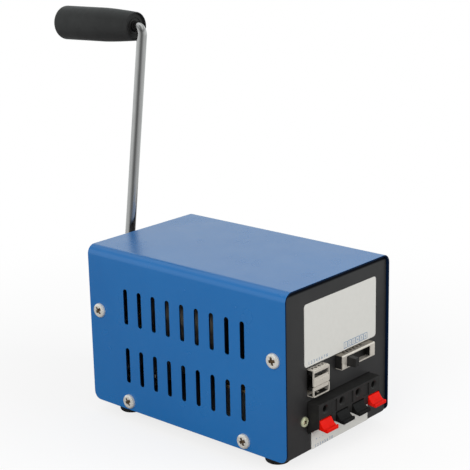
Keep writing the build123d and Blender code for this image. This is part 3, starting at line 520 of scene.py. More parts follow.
def fit(piece, body, slotName, *stands, material=None):
    # Every piece ends here: its finish, the body it moves with and the node it stands for
    piece.data.materials.append(material or finishes[slotName])
    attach(piece, body)
    if stands:
        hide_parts(*stands)
    return piece


def joined(name, pieces):
    shape = bmesh.new()
    for piece in pieces:
        shape.from_mesh(piece.data)
        bpy.data.objects.remove(piece)
    return pieceOf(name, shape)


def arcRound(corner, before, after, radius, steps):
    # Points of the arc that rounds one corner of a line
    back = (Vector(before) - Vector(corner)).normalized()
    ahead = (Vector(after) - Vector(corner)).normalized()
    half = back.angle(ahead) / 2
    reach = radius / math.tan(half)
    centre = Vector(corner) + (back + ahead).normalized() * radius / math.sin(half)
    first = Vector(corner) + back * reach - centre
    last = Vector(corner) + ahead * reach - centre
    sweep = math.pi - 2 * half
    points = []
    for step in range(steps + 1):
        share = step / steps
        weight = math.sin((1 - share) * sweep), math.sin(share * sweep)
        points.append(centre + (first * weight[0] + last * weight[1]) / math.sin(sweep))
    return points


def rectangle(left, low, right, high, radius=0.0, steps=6):
    corners = [Vector(corner) for corner in ((left, low), (right, low), (right, high), (left, high))]
    if radius <= 0:
        return corners
    points = []
    for index, corner in enumerate(corners):
        points += arcRound(corner, corners[index - 1], corners[(index + 1) % 4], radius, steps)
    return points


def slotOutline(x, y, width, length, steps=6):
    # An upright slot with round ends
    points = []
    for end, first in ((1, 0.0), (-1, math.pi)):
        for step in range(steps + 1):
            turn = first + math.pi * step / steps
            points.append(Vector((
                x + width / 2 * math.cos(turn),
                y + end * (length - width) / 2 + width / 2 * math.sin(turn),
            )))
    return points


def ringOutline(x, y, radius, steps=24):
    turns = [2 * math.pi * step / steps for step in range(steps)]
    return [Vector((x + radius * math.cos(turn), y + radius * math.sin(turn))) for turn in turns]


def filledSheet(outline, holes=()):
    # One flat face in x and y with its holes left open
    shape = bmesh.new()
    for loop in (outline, *holes):
        corners = [shape.verts.new((point.x, point.y, 0)) for point in loop]
        for index, corner in enumerate(corners):
            shape.edges.new((corner, corners[(index + 1) % len(corners)]))
    bmesh.ops.triangle_fill(shape, use_beauty=True, use_dissolve=False, edges=shape.edges[:])
    return shape


def plate(name, outline, holes, thickness, place):
    # A flat plate between z = 0 and its thickness, then turned and moved to its place
    shape = filledSheet(outline, holes)
    raised = bmesh.ops.extrude_face_region(shape, geom=shape.faces[:])
    moved = [part for part in raised["geom"] if isinstance(part, bmesh.types.BMVert)]
    bmesh.ops.translate(shape, verts=moved, vec=(0, 0, thickness))
    bmesh.ops.transform(shape, matrix=place, verts=shape.verts)
    return facedPiece(name, shape)


def lathe(name, profile, place, steps=64):
    # Pairs of radius and height, turned about z
    shape = ringShape(profile, steps)
    bmesh.ops.remove_doubles(shape, verts=shape.verts, dist=mergeReach)
    bmesh.ops.transform(shape, matrix=place, verts=shape.verts)
    return facedPiece(name, shape)


def profilePiece(name, outline, left, right):
    # An outline in y and z, drawn out from the left x to the right x
    count = len(outline)
    points = [(x, y, z) for x in (left, right) for y, z in outline]
    faces = [range(count), range(2 * count - 1, count - 1, -1)]
    faces += [(i, count + i, count + (i + 1) % count, (i + 1) % count) for i in range(count)]
    return facedPiece(name, shapeOf(points, faces))


def blockPiece(name, low, high):
    shape = bmesh.new()
    bmesh.ops.create_cube(shape, size=1)
    middle = [(a + b) / 2 for a, b in zip(low, high)]
    size = [b - a for a, b in zip(low, high)]
    bmesh.ops.scale(shape, vec=size, verts=shape.verts)
    bmesh.ops.translate(shape, vec=middle, verts=shape.verts)
    return facedPiece(name, shape)


def cutAway(piece, cutters):
    # Takes the cutters' shapes out of the piece for good
    cutter = joined("cutter", cutters)
    cut = piece.modifiers.new("cut", "BOOLEAN")
    cut.operation = "DIFFERENCE"
    cut.solver = "EXACT"
    cut.object = cutter
    data = finalMesh(piece)
    piece.modifiers.clear()
    piece.data = data
    bpy.data.objects.remove(cutter)


facingFront = Matrix.Rotation(math.radians(90), 4, "X")        # sheet x stays x, y becomes z, up is -Y
facingLeft = Matrix(((0, 0, -1, 0), (-1, 0, 0, 0), (0, 1, 0, 0), (0, 0, 0, 1)))
facingRight = Matrix(((0, 0, 1, 0), (1, 0, 0, 0), (0, 1, 0, 0), (0, 0, 0, 1)))
facingBack = Matrix(((-1, 0, 0, 0), (0, 0, 1, 0), (0, 1, 0, 0), (0, 0, 0, 1)))
facingDown = Matrix.Rotation(math.radians(180), 4, "X")
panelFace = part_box("chassis")[0].y


# ---- cover: one flat blank with its slots, folded over the chassis

cover = {
    "sheet": 1.0 * mm,
    "bend": 5.5 * mm,
    "bendSteps": 12,
    "lowerCorner": 5.0 * mm,
    "edge": 0.16 * mm,
    "slots": 9,
    "slotPitch": 11.6 * mm,
    "slotLength": 22.6 * mm,
    "slotWidth": 3.2 * mm,
    "slotHeights": (66.6 * mm, 29.1 * mm),
    "screwPlaces": ((69.0 * mm, 60.0 * mm), (46.4 * mm, 5.7 * mm)),        # from the middle, above the edge
    "screwHole": 2.3 * mm,
}


def makeCover():
    half = cover["sheet"] / 2
    midBend = cover["bend"] - half
    side = coverHigh.z - coverLow.z - cover["bend"]
    arc = midBend * math.pi / 2
    top = coverHigh.x - coverLow.x - 2 * cover["bend"]
    whole = 2 * side + 2 * arc + top
    length = (coverHigh.y - coverLow.y) / 2
    # x runs round the fold from one lower edge to the other, y along the case
    outline = rectangle(0, -length, whole, length, cover["lowerCorner"])
    holes = []
    for height in cover["slotHeights"]:
        for index in range(cover["slots"]):
            along = (index - (cover["slots"] - 1) / 2) * cover["slotPitch"]
            upright = slotOutline(along, height, cover["slotWidth"], cover["slotLength"])
            holes.append([Vector((point.y, point.x)) for point in upright])
            holes.append([Vector((whole - point.y, point.x)) for point in upright])
    for along, height in cover["screwPlaces"]:
        for end in (-1, 1):
            holes.append(ringOutline(height, end * along, cover["screwHole"]))
            holes.append(ringOutline(whole - height, end * along, cover["screwHole"]))
    shape = filledSheet(outline, holes)
    for start in (side, side + arc + top):
        for step in range(cover["bendSteps"] + 1):
            bmesh.ops.bisect_plane(
                shape, geom=shape.verts[:] + shape.edges[:] + shape.faces[:],
                plane_co=(start + arc * step / cover["bendSteps"], 0, 0), plane_no=(1, 0, 0),
            )
    for point in shape.verts:
        point.co = foldedPoint(point.co, side, arc, whole, midBend, half)
    piece = facedPiece("coverShell", shape)
    outward = piece.modifiers.new("sheet", "SOLIDIFY")
    outward.thickness = cover["sheet"]
    outward.offset = 0
    outward.use_even_offset = True
    softEdges(piece, cover["edge"], 3, 50)
    fit(piece, "case", "blue_paint", "cover")


def foldedPoint(flat, side, arc, whole, midBend, half):
    # Up one side, round the bend and in over the top; the other half of the blank is its mirror image
    along = min(flat.x, whole - flat.x)
    turn = min(max(along - side, 0), arc) / midBend
    inward = half + midBend * (1 - math.cos(turn)) + max(along - side - arc, 0)
    height = min(along, side) + midBend * math.sin(turn)
    x = coverLow.x + inward if flat.x < whole / 2 else coverHigh.x - inward
    return Vector((x, coverMiddle + flat.y, coverLow.z + height))


makeCover()
print("cover folded")


# ---- screws with cross recesses, and the feet

crossScrew = {
    "rings": 40,
    "spokes": 72,
    # the rest are shares, of the head's radius, its rise or the cross's own width
    "rim": 0.34,
    "rimRoundness": 2.4,
    "crownDrop": 0.1,
    "uprightRim": 0.22,
    "recessReach": 0.6,
    "recessWidth": 0.18,
    "recessDepth": 0.92,
    "recessSlope": 0.45,
    "recessEnd": 0.16,
    "armFlat": 0.7,
    "armFlank": 0.6,
    "shadeBelow": 0.3,
}
screwSets = {
    # node: head, rise, shank, length
    "cover_screws": (9.0 * mm, 2.2 * mm, 4.0 * mm, 7.0 * mm),
    "terminal_screws": (6.0 * mm, 1.5 * mm, 3.0 * mm, 6.0 * mm),
    "gearbox_screws": (6.5 * mm, 2.0 * mm, 3.5 * mm, 16.0 * mm),
    "foot_screws": (6.0 * mm, 2.0 * mm, 3.0 * mm, 6.2 * mm),
}
screwTurns = (14, -31, 40, 8, 25, -12, 33, -20)        # how far each cross is turned, in degrees


def crossScrewPiece(node, place):
    # A pan head whose top is a height map with the cross sunk in it, then its underside and shank
    head, rise, shank, length = screwSets[node]
    radius = head / 2

    def topHeight(x, y):
        out = math.hypot(x, y)
        return headHeight(out / radius, rise) - recessDepth(x / radius, y / radius, rise)

    rings = [(radius * ring / crossScrew["rings"], topHeight) for ring in range(crossScrew["rings"] + 1)]
    rings += [(radius, 0), (shank / 2, 0), (shank / 2, shank / 2 - length), (0, -length)]
    shape = ringShape(rings, crossScrew["spokes"])
    # Painted shade: faces deep down in the cross take the second, darker finish
    for face in shape.faces:
        spot = face.calc_center_median() / radius
        if spot.z > 0 and recessDepth(spot.x, spot.y, 1) > crossScrew["shadeBelow"]:
            face.material_index = 1
    bmesh.ops.remove_doubles(shape, verts=shape.verts, dist=mergeReach)
    bmesh.ops.transform(shape, matrix=place, verts=shape.verts)
    return smoothShade(facedPiece("head", shape), 50)


def headHeight(out, rise):
    # A slightly raised crown, then a low rounded flange
    flat = 1 - crossScrew["rim"]
    if out <= flat:
        return rise * (1 - crossScrew["crownDrop"] * (out / flat) ** 2)
    share = (out - flat) / (1 - flat)
    upright = crossScrew["uprightRim"]
    curve = math.sqrt(max(0.0, 1 - share ** crossScrew["rimRoundness"]))
    return rise * (1 - crossScrew["crownDrop"]) * (curve * (1 - upright) + upright)


def recessDepth(x, y, rise):
    reach, width = crossScrew["recessReach"], crossScrew["recessWidth"]
    along, across = max(abs(x), abs(y)), min(abs(x), abs(y))
    flank = smoothStep(1 - (across - width * crossScrew["armFlat"]) / (width * crossScrew["armFlank"]))
    arm = flank * smoothStep((reach - along) / crossScrew["recessEnd"])
    return rise * crossScrew["recessDepth"] * arm * (1 - crossScrew["recessSlope"] * along / reach)


def smoothStep(value):
    value = min(1.0, max(0.0, value))
    return value * value * (3 - 2 * value)


def fitScrews(name, node, spots, turns, material=None):
    heads = []
    for spot, turn in zip(spots, turns):
        heads.append(crossScrewPiece(node, spot @ Matrix.Rotation(math.radians(turn), 4, "Z")))
    piece = fit(joined(name, heads), "case", "zinc_screw", node, material=material)
    # The second finish is painted shade for the faces deep in the cross
    piece.data.materials.append(crossShade)


def makeCoverScrews():
    spots = []
    for along, height in cover["screwPlaces"]:
        for end in (-1, 1):
            for x, facing in ((coverLow.x, facingLeft), (coverHigh.x, facingRight)):
                spots.append(Matrix.Translation((x, coverMiddle + end * along, coverLow.z + height)) @ facing)
    fitScrews("coverScrewSet", "cover_screws", spots, screwTurns)


def makeFrontScrews():
    low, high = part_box("terminal_screws")
    head = screwSets["terminal_screws"][0]
    middle = (low.z + high.z) / 2
    ends = low.x + head / 2, high.x - head / 2
    spots = [Matrix.Translation((x, panelFace, middle)) @ facingFront for x in ends]
    fitScrews("terminalScrewSet", "terminal_screws", spots, screwTurns[6:], yellowScrew)


def makeRearScrews():
    low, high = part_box("gearbox_screws")
    head, rise = screwSets["gearbox_screws"][:2]
    spots = []
    for x in (low.x + head / 2, high.x - head / 2):
        for z in (low.z + head / 2, high.z - head / 2):
            spots.append(Matrix.Translation((x, high.y - rise, z)) @ facingBack)
    fitScrews("gearboxScrewSet", "gearbox_screws", spots, screwTurns[2:])


foot = {
    "radius": 7.4 * mm,
    "edge": 1.6 * mm,
    "edgeSteps": 6,
    "well": 3.8 * mm,
    "wellDepth": 4.4 * mm,
    "wellBevel": 0.4 * mm,
    "screwHole": 1.6 * mm,
}


def makeFeet():
    low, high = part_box("feet")
    radius, edge, well, depth = foot["radius"], foot["edge"], foot["well"], foot["wellDepth"]
    height = high.z - low.z
    profile = [(well, depth), (well, foot["wellBevel"]), (well + foot["wellBevel"], 0)]
    for step in range(foot["edgeSteps"] + 1):
        turn = math.pi / 2 * step / foot["edgeSteps"]
        profile.append((radius - edge * (1 - math.sin(turn)), edge * (1 - math.cos(turn))))
    profile += [(radius, height), (foot["screwHole"], height), (foot["screwHole"], depth), (well, depth)]
    feet, spots = [], []
    for x in (low.x + radius, high.x - radius):
        for y in (low.y + radius, high.y - radius):
            feet.append(lathe("foot", profile, Matrix.Translation((x, y, low.z))))
            spots.append(Matrix.Translation((x, y, low.z + depth)) @ facingDown)
    fit(smoothShade(joined("footSet", feet), 30), "case", "foot_rubber", "feet")
    fitScrews("footScrewSet", "foot_screws", spots, (0, 0, 0, 0))


makeCoverScrews()
makeFrontScrews()
makeRearScrews()
makeFeet()
print("screws and feet in place")


# ---- front panel: labels and their printed marks

label = {
    "corner": 2.0 * mm,
    "stripCorner": 0.4 * mm,
    "edge": 0.08 * mm,
    "inkRise": 0.015 * mm,
    "textScale": 1.38,        # text size for one of figure height
}
marks = {
    # text, height of the figures, left end, right end, base line
    "switchFigures": ("123456", 2.0 * mm, 5.4 * mm, 28.4 * mm, 53.65 * mm),
    "socketFigures": ("12345678", 1.9 * mm, -28.0 * mm, -9.2 * mm, 52.8 * mm),
    "terminalFigures": ("12345678", 1.9 * mm, -22.4 * mm, -4.6 * mm, 0.9 * mm),
    "terminalSigns": ("+--", 1.7 * mm, -21.8 * mm, -13.0 * mm, 5.0 * mm),
}
figureFrame = {
    "line": 0.3 * mm,
    "above": 0.95 * mm,
    "beside": 0.12 * mm,
    "corner": 0.4 * mm,
    "innerCorner": 0.2 * mm,
}


def makeLabel(name, node, corner):
    low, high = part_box(node)
    outline = rectangle(low.x, low.z, high.x, high.z, label[corner])
    piece = plate(name, outline, (), high.y - low.y, Matrix.Translation((0, high.y, 0)) @ facingFront)
    fit(softEdges(piece, label["edge"]), "case", "label_film", node)
    return low.y


def printPlace(x, z, face):
    # On the label's face, a hair in front of it
    return Matrix.Translation((x, face - label["inkRise"], coverLow.z + z)) @ facingFront


def figureStrip(name, face):
    # Single figures set out evenly between two places, printed flat on the label
    text, size, left, right, base = marks[name]
    drawn = []
    for index, figure in enumerate(text):
        words = bpy.data.curves.new("figure", "FONT")
        words.body = figure
        words.size = size * label["textScale"]
        words.align_x = "CENTER"
        writer = placed("figure", words)
        flat = finalMesh(writer)
        bpy.data.objects.remove(writer)
        flat.transform(printPlace(left + (right - left) * (index + 0.5) / len(text), base, face))
        drawn.append(placed("figure", flat))
    fit(joined(name, drawn), "case", "label_film", material=ink)


def makeFigureFrames(face):
    # Thin frames round the figures beside the switch
    text, size, left, right, base = marks["switchFigures"]
    line, beside = figureFrame["line"], figureFrame["beside"]
    low, high = base - figureFrame["above"], base + size + figureFrame["above"]
    cell = (right - left) / len(text)
    frames = []
    for index in range(len(text)):
        start, end = left + cell * index + beside, left + cell * (index + 1) - beside
        outer = rectangle(start, low, end, high, figureFrame["corner"], 3)
        inner = rectangle(start + line, low + line, end - line, high - line, figureFrame["innerCorner"], 3)
        shape = filledSheet(outer, [inner])
        bmesh.ops.transform(shape, matrix=printPlace(0, 0, face), verts=shape.verts)
        frames.append(facedPiece("frame", shape))
    fit(joined("figureFrames", frames), "case", "label_film", material=ink)


labelFace = makeLabel("frontLabel", "front_label", "corner")
stripFace = makeLabel("terminalLabel", "terminal_label", "stripCorner")
figureStrip("switchFigures", labelFace)
figureStrip("socketFigures", labelFace)
figureStrip("terminalFigures", stripFace)
figureStrip("terminalSigns", stripFace)
makeFigureFrames(labelFace)
print("labels printed")


# ---- stacked sockets

socket = {
    "wall": 0.4 * mm,
    "corner": 0.9 * mm,
    "edge": 0.14 * mm,
    "overlap": 0.1 * mm,        # how far its sheets run into each other
    "portWidth": 13.2 * mm,
    "portHeight": 4.9 * mm,
    "portPitch": 9.4 * mm,
    "portCorner": 0.5 * mm,
    "sill": 0.5 * mm,
    "seam": 0.3 * mm,
    "seamAbove": 0.7 * mm,
    # lower port, upper port: how far each lip comes from the port's floor and from its roof
    "lips": ((0.0, 1.7 * mm), (1.7 * mm, 0.6 * mm)),
    "lipSetback": 0.2 * mm,
    "lipThickness": 0.35 * mm,
    "lipEndGap": 0.3 * mm,
    "frontDepth": 0.9 * mm,
    "roofInset": 0.4 * mm,
    "rightInset": 0.3 * mm,
    "rails": ((0.0, 0.5 * mm), (15.7 * mm, 16.2 * mm)),
    "notches": 4,
    "notchPitch": 3.1 * mm,
    "notchSize": (1.6 * mm, 2.3 * mm),
    "springWidth": 1.6 * mm,
    "springStart": 2.4 * mm,
    "springLength": 5.0 * mm,
    "springThickness": 0.25 * mm,
    "springLift": 0.12 * mm,
    "springEdge": 0.06 * mm,
    "shadeSheetThickness": 0.08 * mm,
    "shadeSheetLift": 0.01 * mm,
    "shadeSheetCorner": 0.2 * mm,
    "shadeSheetEdge": 0.02 * mm,
}


def makeSockets():
    low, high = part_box("usb_shell")
    middle = (low.x + high.x) / 2
    wall, depth, overlap = socket["wall"], socket["frontDepth"], socket["overlap"]
    front = Matrix.Translation((0, low.y + depth, 0)) @ facingFront
    reach = socket["portWidth"] / 2
    lipReach = reach - socket["lipEndGap"]
    lipFace, spring = low.y + socket["lipSetback"], low.y + socket["springStart"]
    split = low.z + socket["sill"] + socket["portHeight"] + socket["seamAbove"]
    tiers = (low.z, split - socket["seam"] / 2), (split + socket["seam"] / 2, high.z)
    parts, springs = [], []
    for number, (bottom, top) in enumerate(tiers):
        portLow = low.z + socket["sill"] + number * socket["portPitch"]
        portHigh = portLow + socket["portHeight"]
        outline = rectangle(low.x, bottom, high.x, top, socket["corner"], 4)
        port = rectangle(middle - reach, portLow, middle + reach, portHigh, socket["portCorner"], 4)
        parts.append(plate("tier", outline, [port], depth, front))
        # Broad lips of the shell spring into each port, apart from one of no height
        fromFloor, fromRoof = socket["lips"][number]
        lowerLip = portLow - overlap, portLow + fromFloor
        upperLip = portHigh - fromRoof, portHigh + overlap
        for start, end in (lowerLip, upperLip):
            if end - start > 2 * overlap:
                springs.append(blockPiece(
                    "lip", (middle - lipReach, lipFace, start),
                    (middle + lipReach, lipFace + socket["lipThickness"], end),
                ))
        lift = portLow + socket["springLift"]
        springs.append(blockPiece(
            "spring", (middle - socket["springWidth"] / 2, spring, lift),
            (middle + socket["springWidth"] / 2, spring + socket["springLength"],
             lift + socket["springThickness"]),
        ))
    back = low.y + depth - overlap
    width, notchDepth = socket["notchSize"]
    notches = []
    for index in range(socket["notches"]):
        x = middle + (index - (socket["notches"] - 1) / 2) * socket["notchPitch"]
        notches.append(rectangle(x - width / 2, panelFace - notchDepth, x + width / 2, panelFace - overlap))
    roof = rectangle(low.x + socket["roofInset"], back, high.x - socket["roofInset"], high.y)
    inset = socket["rightInset"]
    parts.append(plate("roof", roof, notches, wall, Matrix.Translation((0, 0, high.z - wall))))
    parts.append(plate("floor", roof, (), wall, Matrix.Translation((0, 0, low.z))))
    parts.append(blockPiece("right", (high.x - wall, back, low.z + inset), (high.x, high.y, high.z - inset)))
    # The left side is open between two rails and shows the black core
    for bottom, top in socket["rails"]:
        parts.append(blockPiece("rail", (low.x, back, low.z + bottom), (low.x + wall, high.y, low.z + top)))
    fit(softEdges(joined("socketShell", parts), socket["edge"]), "case", "nickel", "usb_shell")
    fit(softEdges(joined("socketSprings", springs), socket["springEdge"]), "case", "nickel")
    # Painted shade: a thin black sheet on the shell's floor darkens the ports, whose metal inside lies in shadow
    shadeOutline = rectangle(low.x + wall, low.y + depth, high.x - wall, panelFace, socket["shadeSheetCorner"])
    lift = Matrix.Translation((0, 0, low.z + wall + socket["shadeSheetLift"]))
    shadeSheet = plate("portShadeSheet", shadeOutline, (), socket["shadeSheetThickness"], lift)
    fit(softEdges(shadeSheet, socket["shadeSheetEdge"]), "case", "black_plastic")


makeSockets()


# ---- slide switch

slideSwitch = {
    "sheet": 0.5 * mm,
    "windowLeft": 4.1 * mm,
    "windowRight": 4.5 * mm,
    "windowHeight": 6.3 * mm,
    "windowCorner": 0.4 * mm,
    "notches": 6,
    "notchPitch": 3.25 * mm,
    "notchFirst": 5.4 * mm,
    "notchSize": (1.9 * mm, 2.6 * mm),
    "bend": 0.7 * mm,
    "bendSteps": 6,
}


def makeSwitchFrame():
    # The blank is folded round its front edges into a channel: front, roof and floor
    low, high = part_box("switch_frame")
    middle = (low.z + high.z) / 2
    sheet, bend, steps = slideSwitch["sheet"], slideSwitch["bend"], slideSwitch["bendSteps"]
    window = rectangle(
        low.x + slideSwitch["windowLeft"], middle - slideSwitch["windowHeight"] / 2,
        high.x - slideSwitch["windowRight"], middle + slideSwitch["windowHeight"] / 2,
        slideSwitch["windowCorner"], 3,
    )
    front = rectangle(low.x, low.z + bend, high.x, high.z - bend)
    parts = [plate("face", front, [window], sheet, Matrix.Translation((0, low.y + sheet, 0)) @ facingFront)]
    width, depth = slideSwitch["notchSize"]
    panel = panelFace - low.y
    notches = []
    for index in range(slideSwitch["notches"]):
        x = low.x + slideSwitch["notchFirst"] + index * slideSwitch["notchPitch"]
        notches.append(rectangle(x - width / 2, panel - depth, x + width / 2, panel))
    roof = rectangle(low.x, bend, high.x, high.y - low.y)
    cap = plate("switchRoof", roof, notches, sheet, Matrix.Translation((0, low.y, high.z - sheet)))
    fit(cap, "case", "nickel", material=switchRoof)
    parts.append(plate("floor", roof, (), sheet, Matrix.Translation((0, low.y, low.z))))
    for height, first in ((high.z - bend, 0), (low.z + bend, -90)):
        fold = []
        for radius, order in ((bend, range(steps + 1)), (bend - sheet, range(steps, -1, -1))):
            for step in order:
                turn = math.radians(first + 90 * step / steps)
                fold.append((low.y + bend - radius * math.cos(turn), height + radius * math.sin(turn)))
        parts.append(profilePiece("fold", fold, low.x, high.x))
    fit(smoothShade(joined("switchFrame", parts), 30), "case", "nickel", "switch_frame")


switchKnob = {
    # along y, all from the knob's outer end
    "stemEnd": 5.7 * mm,
    "footStart": 6.4 * mm,
    "neckEnd": 7.0 * mm,
    "overlap": 0.2 * mm,
    "stemInset": (1.6 * mm, 0.75 * mm),        # from the foot's ends, from its top and bottom
    "taper": (0.25 * mm, 0.3 * mm),
    "edge": 0.35 * mm,
}


def makeSwitchKnob():
    # A stem that narrows a little towards its end, on a broad foot behind the window
    low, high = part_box("switch_knob")
    across, upright = switchKnob["stemInset"]
    left, right, bottom, top = low.x + across, high.x - across, low.z + upright, high.z - upright
    back = low.y + switchKnob["stemEnd"]
    stem = blockPiece("stem", (left, low.y, bottom), (right, back, top))
    for corner in stem.data.vertices:
        if corner.co.y < (low.y + back) / 2:
            corner.co.x += switchKnob["taper"][0] * (1 if corner.co.x < (low.x + high.x) / 2 else -1)
            corner.co.z += switchKnob["taper"][1] * (1 if corner.co.z < (low.z + high.z) / 2 else -1)
    sole = blockPiece("sole", (low.x, low.y + switchKnob["footStart"], low.z), high)
    neckStart, neckEnd = back - switchKnob["overlap"], low.y + switchKnob["neckEnd"]
    neck = blockPiece("neck", (left, neckStart, bottom), (right, neckEnd, top))
    piece = softEdges(joined("switchKnob", [stem, sole, neck]), switchKnob["edge"], 3)
    fit(piece, "knob", "black_plastic", "switch_knob")


makeSwitchFrame()
makeSwitchKnob()
print("sockets and switch fitted")


# ---- spring terminals

block = {
    "frontBottom": 16.2 * mm,
    "panelSheet": 1.2 * mm,
    "flangeReach": 8.4 * mm,
    "flangeThickness": 2.5 * mm,
    "flangeOverlap": 1.0 * mm,
    "flangeEdge": 0.3 * mm,
    "pitch": 15.4 * mm,
    "holeRadius": 1.7 * mm,
    "holeMouth": 2.6 * mm,
    "holeDepth": 5.0 * mm,
    "holeHeight": 26.5 * mm,
    "leverRoom": 11.2 * mm,
    "roomTop": 21.2 * mm,
    "roomDepth": 9.0 * mm,
    "bayWidth": 9.4 * mm,
    "bayDepth": 0.7 * mm,
    "bayRim": (0.6 * mm, 1.2 * mm),        # above the lever's room, below the top
    "cutPast": 1.0 * mm,
    "edge": 0.35 * mm,
}


def makeTerminalBody():
    low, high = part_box("terminal_body")
    base = coverLow.z
    left, right = low.x + block["flangeReach"], high.x - block["flangeReach"]
    nose = [
        (high.y, low.z), (high.y, high.z), (low.y, high.z), (low.y, base + block["frontBottom"]),
        (panelFace, low.z),
    ]
    body = profilePiece("body", nose, left, right)
    stations = [(low.x + high.x) / 2 + (index - 1.5) * block["pitch"] for index in range(4)]
    hole, mouth, depth, past = block["holeRadius"], block["holeMouth"], block["holeDepth"], block["cutPast"]
    roomTop = base + block["roomTop"]
    half = block["leverRoom"] / 2
    funnel = [(0, 0), (hole, 0), (hole, depth - mouth + hole), (mouth, depth)]
    funnel += [(mouth, depth + past), (0, depth + past)]
    cutters = []
    for x in stations:
        cutters.append(blockPiece(
            "room", (x - half, low.y - past, low.z - past), (x + half, low.y + block["roomDepth"], roomTop),
        ))
        mouthPlace = Matrix.Translation((x, low.y + depth, base + block["holeHeight"])) @ facingFront
        cutters.append(lathe("wireHole", funnel, mouthPlace, 32))
    cutAway(body, cutters)
    # Shallow bays between the stations
    half = block["bayWidth"] / 2
    aboveRoom, belowTop = block["bayRim"]
    cutAway(body, [
        blockPiece(
            "bay", (x + half, low.y - past, roomTop + aboveRoom),
            (x + block["pitch"] - half, low.y + block["bayDepth"], high.z - belowTop),
        )
        for x in stations[:3]
    ])
    fit(softEdges(body, block["edge"]), "case", "black_plastic", "terminal_body")
    inside = panelFace + block["panelSheet"]
    outside = inside + block["flangeThickness"]
    ears = [
        blockPiece("ear", (low.x, inside, low.z), (left + block["flangeOverlap"], outside, high.z)),
        blockPiece("ear", (right - block["flangeOverlap"], inside, low.z), (high.x, outside, high.z)),
    ]
    fit(softEdges(joined("terminalEars", ears), block["flangeEdge"]), "case", "black_plastic")


lever = {
    "width": 10.6 * mm,
    "topAtFace": 20.6 * mm,
    "scoop": 0.9 * mm,
    "scoopEnd": (1.3 * mm, 0.55 * mm),        # from the tip, below the lip's top
    "lipTop": 16.9 * mm,
    "lipRound": (0.9 * mm, 0.35 * mm),
    "lipBottom": 14.6 * mm,
    "keel": (1.1 * mm, 0.1 * mm),        # from the tip, below the lip's bottom
    "underRise": 0.5 * mm,
    "faceInset": 5.0 * mm,
    "pivotHeight": 18.0 * mm,
    "hubReach": 2.3 * mm,
    "pinRadius": 1.15 * mm,
    "tail": (3.2 * mm, 3.9 * mm),        # its lower and upper corner, above the pivot
    "tailBevel": 0.8 * mm,
    "edge": 0.3 * mm,
}


def makeLever(number, slotName):
    node = f"terminal_lever_{number}"
    low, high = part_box(node)
    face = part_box("terminal_body")[0].y
    tip = low.y
    middle = (low.x + high.x) / 2
    topAtFace, lipTop, under, pivot = (
        coverLow.z + lever[height] for height in ("topAtFace", "lipTop", "lipBottom", "pivotHeight")
    )
    inset = face + lever["faceInset"]
    hub = lever["hubReach"]
    # The thumb rest sweeps down in a hollow curve and turns up into a small lip
    scoopY, scoopZ = tip + lever["scoopEnd"][0], lipTop - lever["scoopEnd"][1]
    outline = []
    for step in range(11):
        share = step / 10
        hollow = lever["scoop"] * math.sin(math.pi * share)
        outline.append((face + (scoopY - face) * share, topAtFace + (scoopZ - topAtFace) * share - hollow))
    outline += [
        (tip + lever["lipRound"][0], lipTop), (tip, lipTop - lever["lipRound"][1]), (tip, under),
        (tip + lever["keel"][0], under - lever["keel"][1]), (face, under + lever["underRise"]),
        (inset, pivot - hub), (inset + hub, pivot),
        (high.y, pivot + lever["tail"][0]), (high.y - lever["tailBevel"], pivot + lever["tail"][1]),
        (inset, topAtFace),
    ]
    outline = [(y, min(max(z, low.z), high.z)) for y, z in outline]
    blade = profilePiece("blade", outline, middle - lever["width"] / 2, middle + lever["width"] / 2)
    pin = lathe(
        "pin", [(0, 0), (lever["pinRadius"], 0), (lever["pinRadius"], high.x - low.x), (0, high.x - low.x)],
        Matrix.Translation((low.x, inset, pivot)) @ facingRight, 24,
    )
    whole = softEdges(joined(f"terminalLever{number}", [blade, pin]), lever["edge"], 2, 42)
    material = leverFinish if slotName == "black_plastic" else None
    fit(whole, f"lever_{number}", slotName, node, material=material)


makeTerminalBody()
for number, slotName in enumerate(("red_plastic", "black_plastic", "black_plastic", "red_plastic"), start=1):
    makeLever(number, slotName)
print("terminals fitted")


# ---- crank and grip

crank = {
    "rodRadius": 3.25 * mm,
    "roundSteps": 10,
    "hubBend": 8.0 * mm,
    "gripBend": 5.6 * mm,
    "spindle": 58.0 * mm,
    "bendSteps": 14,
}


def makeRod():
    hub = Vector(joints["crank_spin"]["pos_m"])
    bendPoint = Vector(joints["grip_spin"]["pos_m"])
    start = Vector((hub.x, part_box("crank_rod")[0].y, hub.z))
    end = bendPoint + Vector(joints["grip_spin"]["axis"]) * crank["spindle"]
    line = [start]
    line += arcRound(hub, start, bendPoint, crank["hubBend"], crank["bendSteps"])
    line += arcRound(bendPoint, hub, end, crank["gripBend"], crank["bendSteps"])
    line.append(end)
    path = bpy.data.curves.new("rod", "CURVE")
    path.dimensions = "3D"
    path.bevel_depth = crank["rodRadius"]
    path.bevel_resolution = crank["roundSteps"]
    path.use_fill_caps = True
    run = path.splines.new("POLY")
    run.points.add(len(line) - 1)
    for point, spot in zip(run.points, line):
        point.co = (*spot, 1)
    holder = placed("rod", path)
    piece = placed("crankRod", finalMesh(holder))
    bpy.data.objects.remove(holder)
    fit(smoothShade(piece, 40), "crank", "rod_steel", "crank_rod")


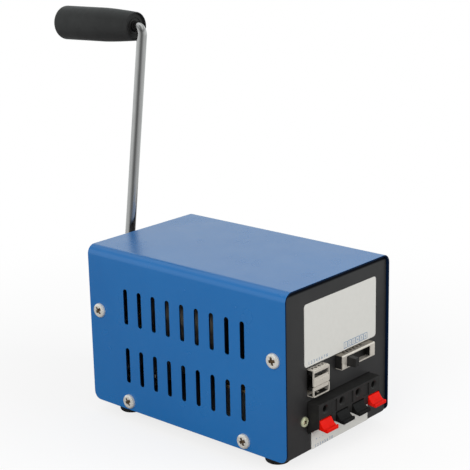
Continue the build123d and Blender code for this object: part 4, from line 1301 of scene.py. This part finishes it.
grip = {
    # along the grip, all from the arm's centre line
    "start": 5.5 * mm,
    "bulgeAt": 33.0 * mm,
    "end": 73.0 * mm,
    "nearRadius": 9.1 * mm,
    "bulgeRadius": 10.9 * mm,
    "bulgeRound": 0.5,        # 0 is a straight taper up to the bulge, 1 a full curve
    "farRadius": 11.1 * mm,
    "farEdge": 3.0 * mm,
    "rim": 0.9 * mm,
    "rimBevel": (0.3 * mm, 0.35 * mm),
    "mouthBevel": (0.25 * mm, 0.3 * mm),
}
gripBush = {
    "recess": 1.5 * mm,
    "end": 24.0 * mm,
    "seatEnd": 25.0 * mm,
    "bore": 3.31 * mm,
    "boreBevel": 0.3 * mm,
    "groove": (1.5 * mm, 1.6 * mm, 2.2 * mm, 2.3 * mm),        # out from the bore: edge, floor, floor, edge
    "grooveDepth": 0.4 * mm,
    "gap": 0.02 * mm,
}


def makeGrip():
    # z runs out along the grip from the arm's centre line
    turn = Vector(joints["grip_spin"]["axis"]).to_track_quat("Z", "Y").to_matrix().to_4x4()
    alongGrip = Matrix.Translation(joints["grip_spin"]["pos_m"]) @ turn
    start, near, far, edge = grip["start"], grip["nearRadius"], grip["farRadius"], grip["farEdge"]
    seat = near - grip["rim"]
    profile = [
        (seat, gripBush["seatEnd"]), (seat, start + grip["mouthBevel"][1]),
        (seat + grip["mouthBevel"][0], start),
        (near - grip["rimBevel"][0], start), (near, start + grip["rimBevel"][1]),
    ]
    curve = grip["bulgeRound"]
    for step in range(1, 11):
        share = step / 10
        rise = curve * math.sin(math.pi / 2 * share) + (1 - curve) * share
        reach = start + (grip["bulgeAt"] - start) * share
        profile.append((near + (grip["bulgeRadius"] - near) * rise, reach))
    for step in range(9):
        angle = math.pi / 2 * step / 8
        profile.append((far - edge * (1 - math.cos(angle)), grip["end"] - edge * (1 - math.sin(angle))))
    profile.append((0, grip["end"]))
    fit(smoothShade(lathe("gripShell", profile, alongGrip, 96), 30), "grip", "grip_plastic", "grip")
    bore, end, bevel = gripBush["bore"], gripBush["end"], gripBush["boreBevel"]
    face = start + gripBush["recess"]
    floor = face + gripBush["grooveDepth"]
    grooveFrom, floorFrom, floorTo, grooveTo = (bore + out for out in gripBush["groove"])
    outer = seat - gripBush["gap"]
    bush = [
        (bore, end), (bore, face + bevel), (bore + bevel, face), (grooveFrom, face), (floorFrom, floor),
        (floorTo, floor), (grooveTo, face), (outer, face), (outer, end), (bore, end),
    ]
    fit(smoothShade(lathe("gripBush", bush, alongGrip, 72), 30), "grip", "black_plastic", "grip_bush")


makeRod()
makeGrip()
print("crank bent, grip turned")
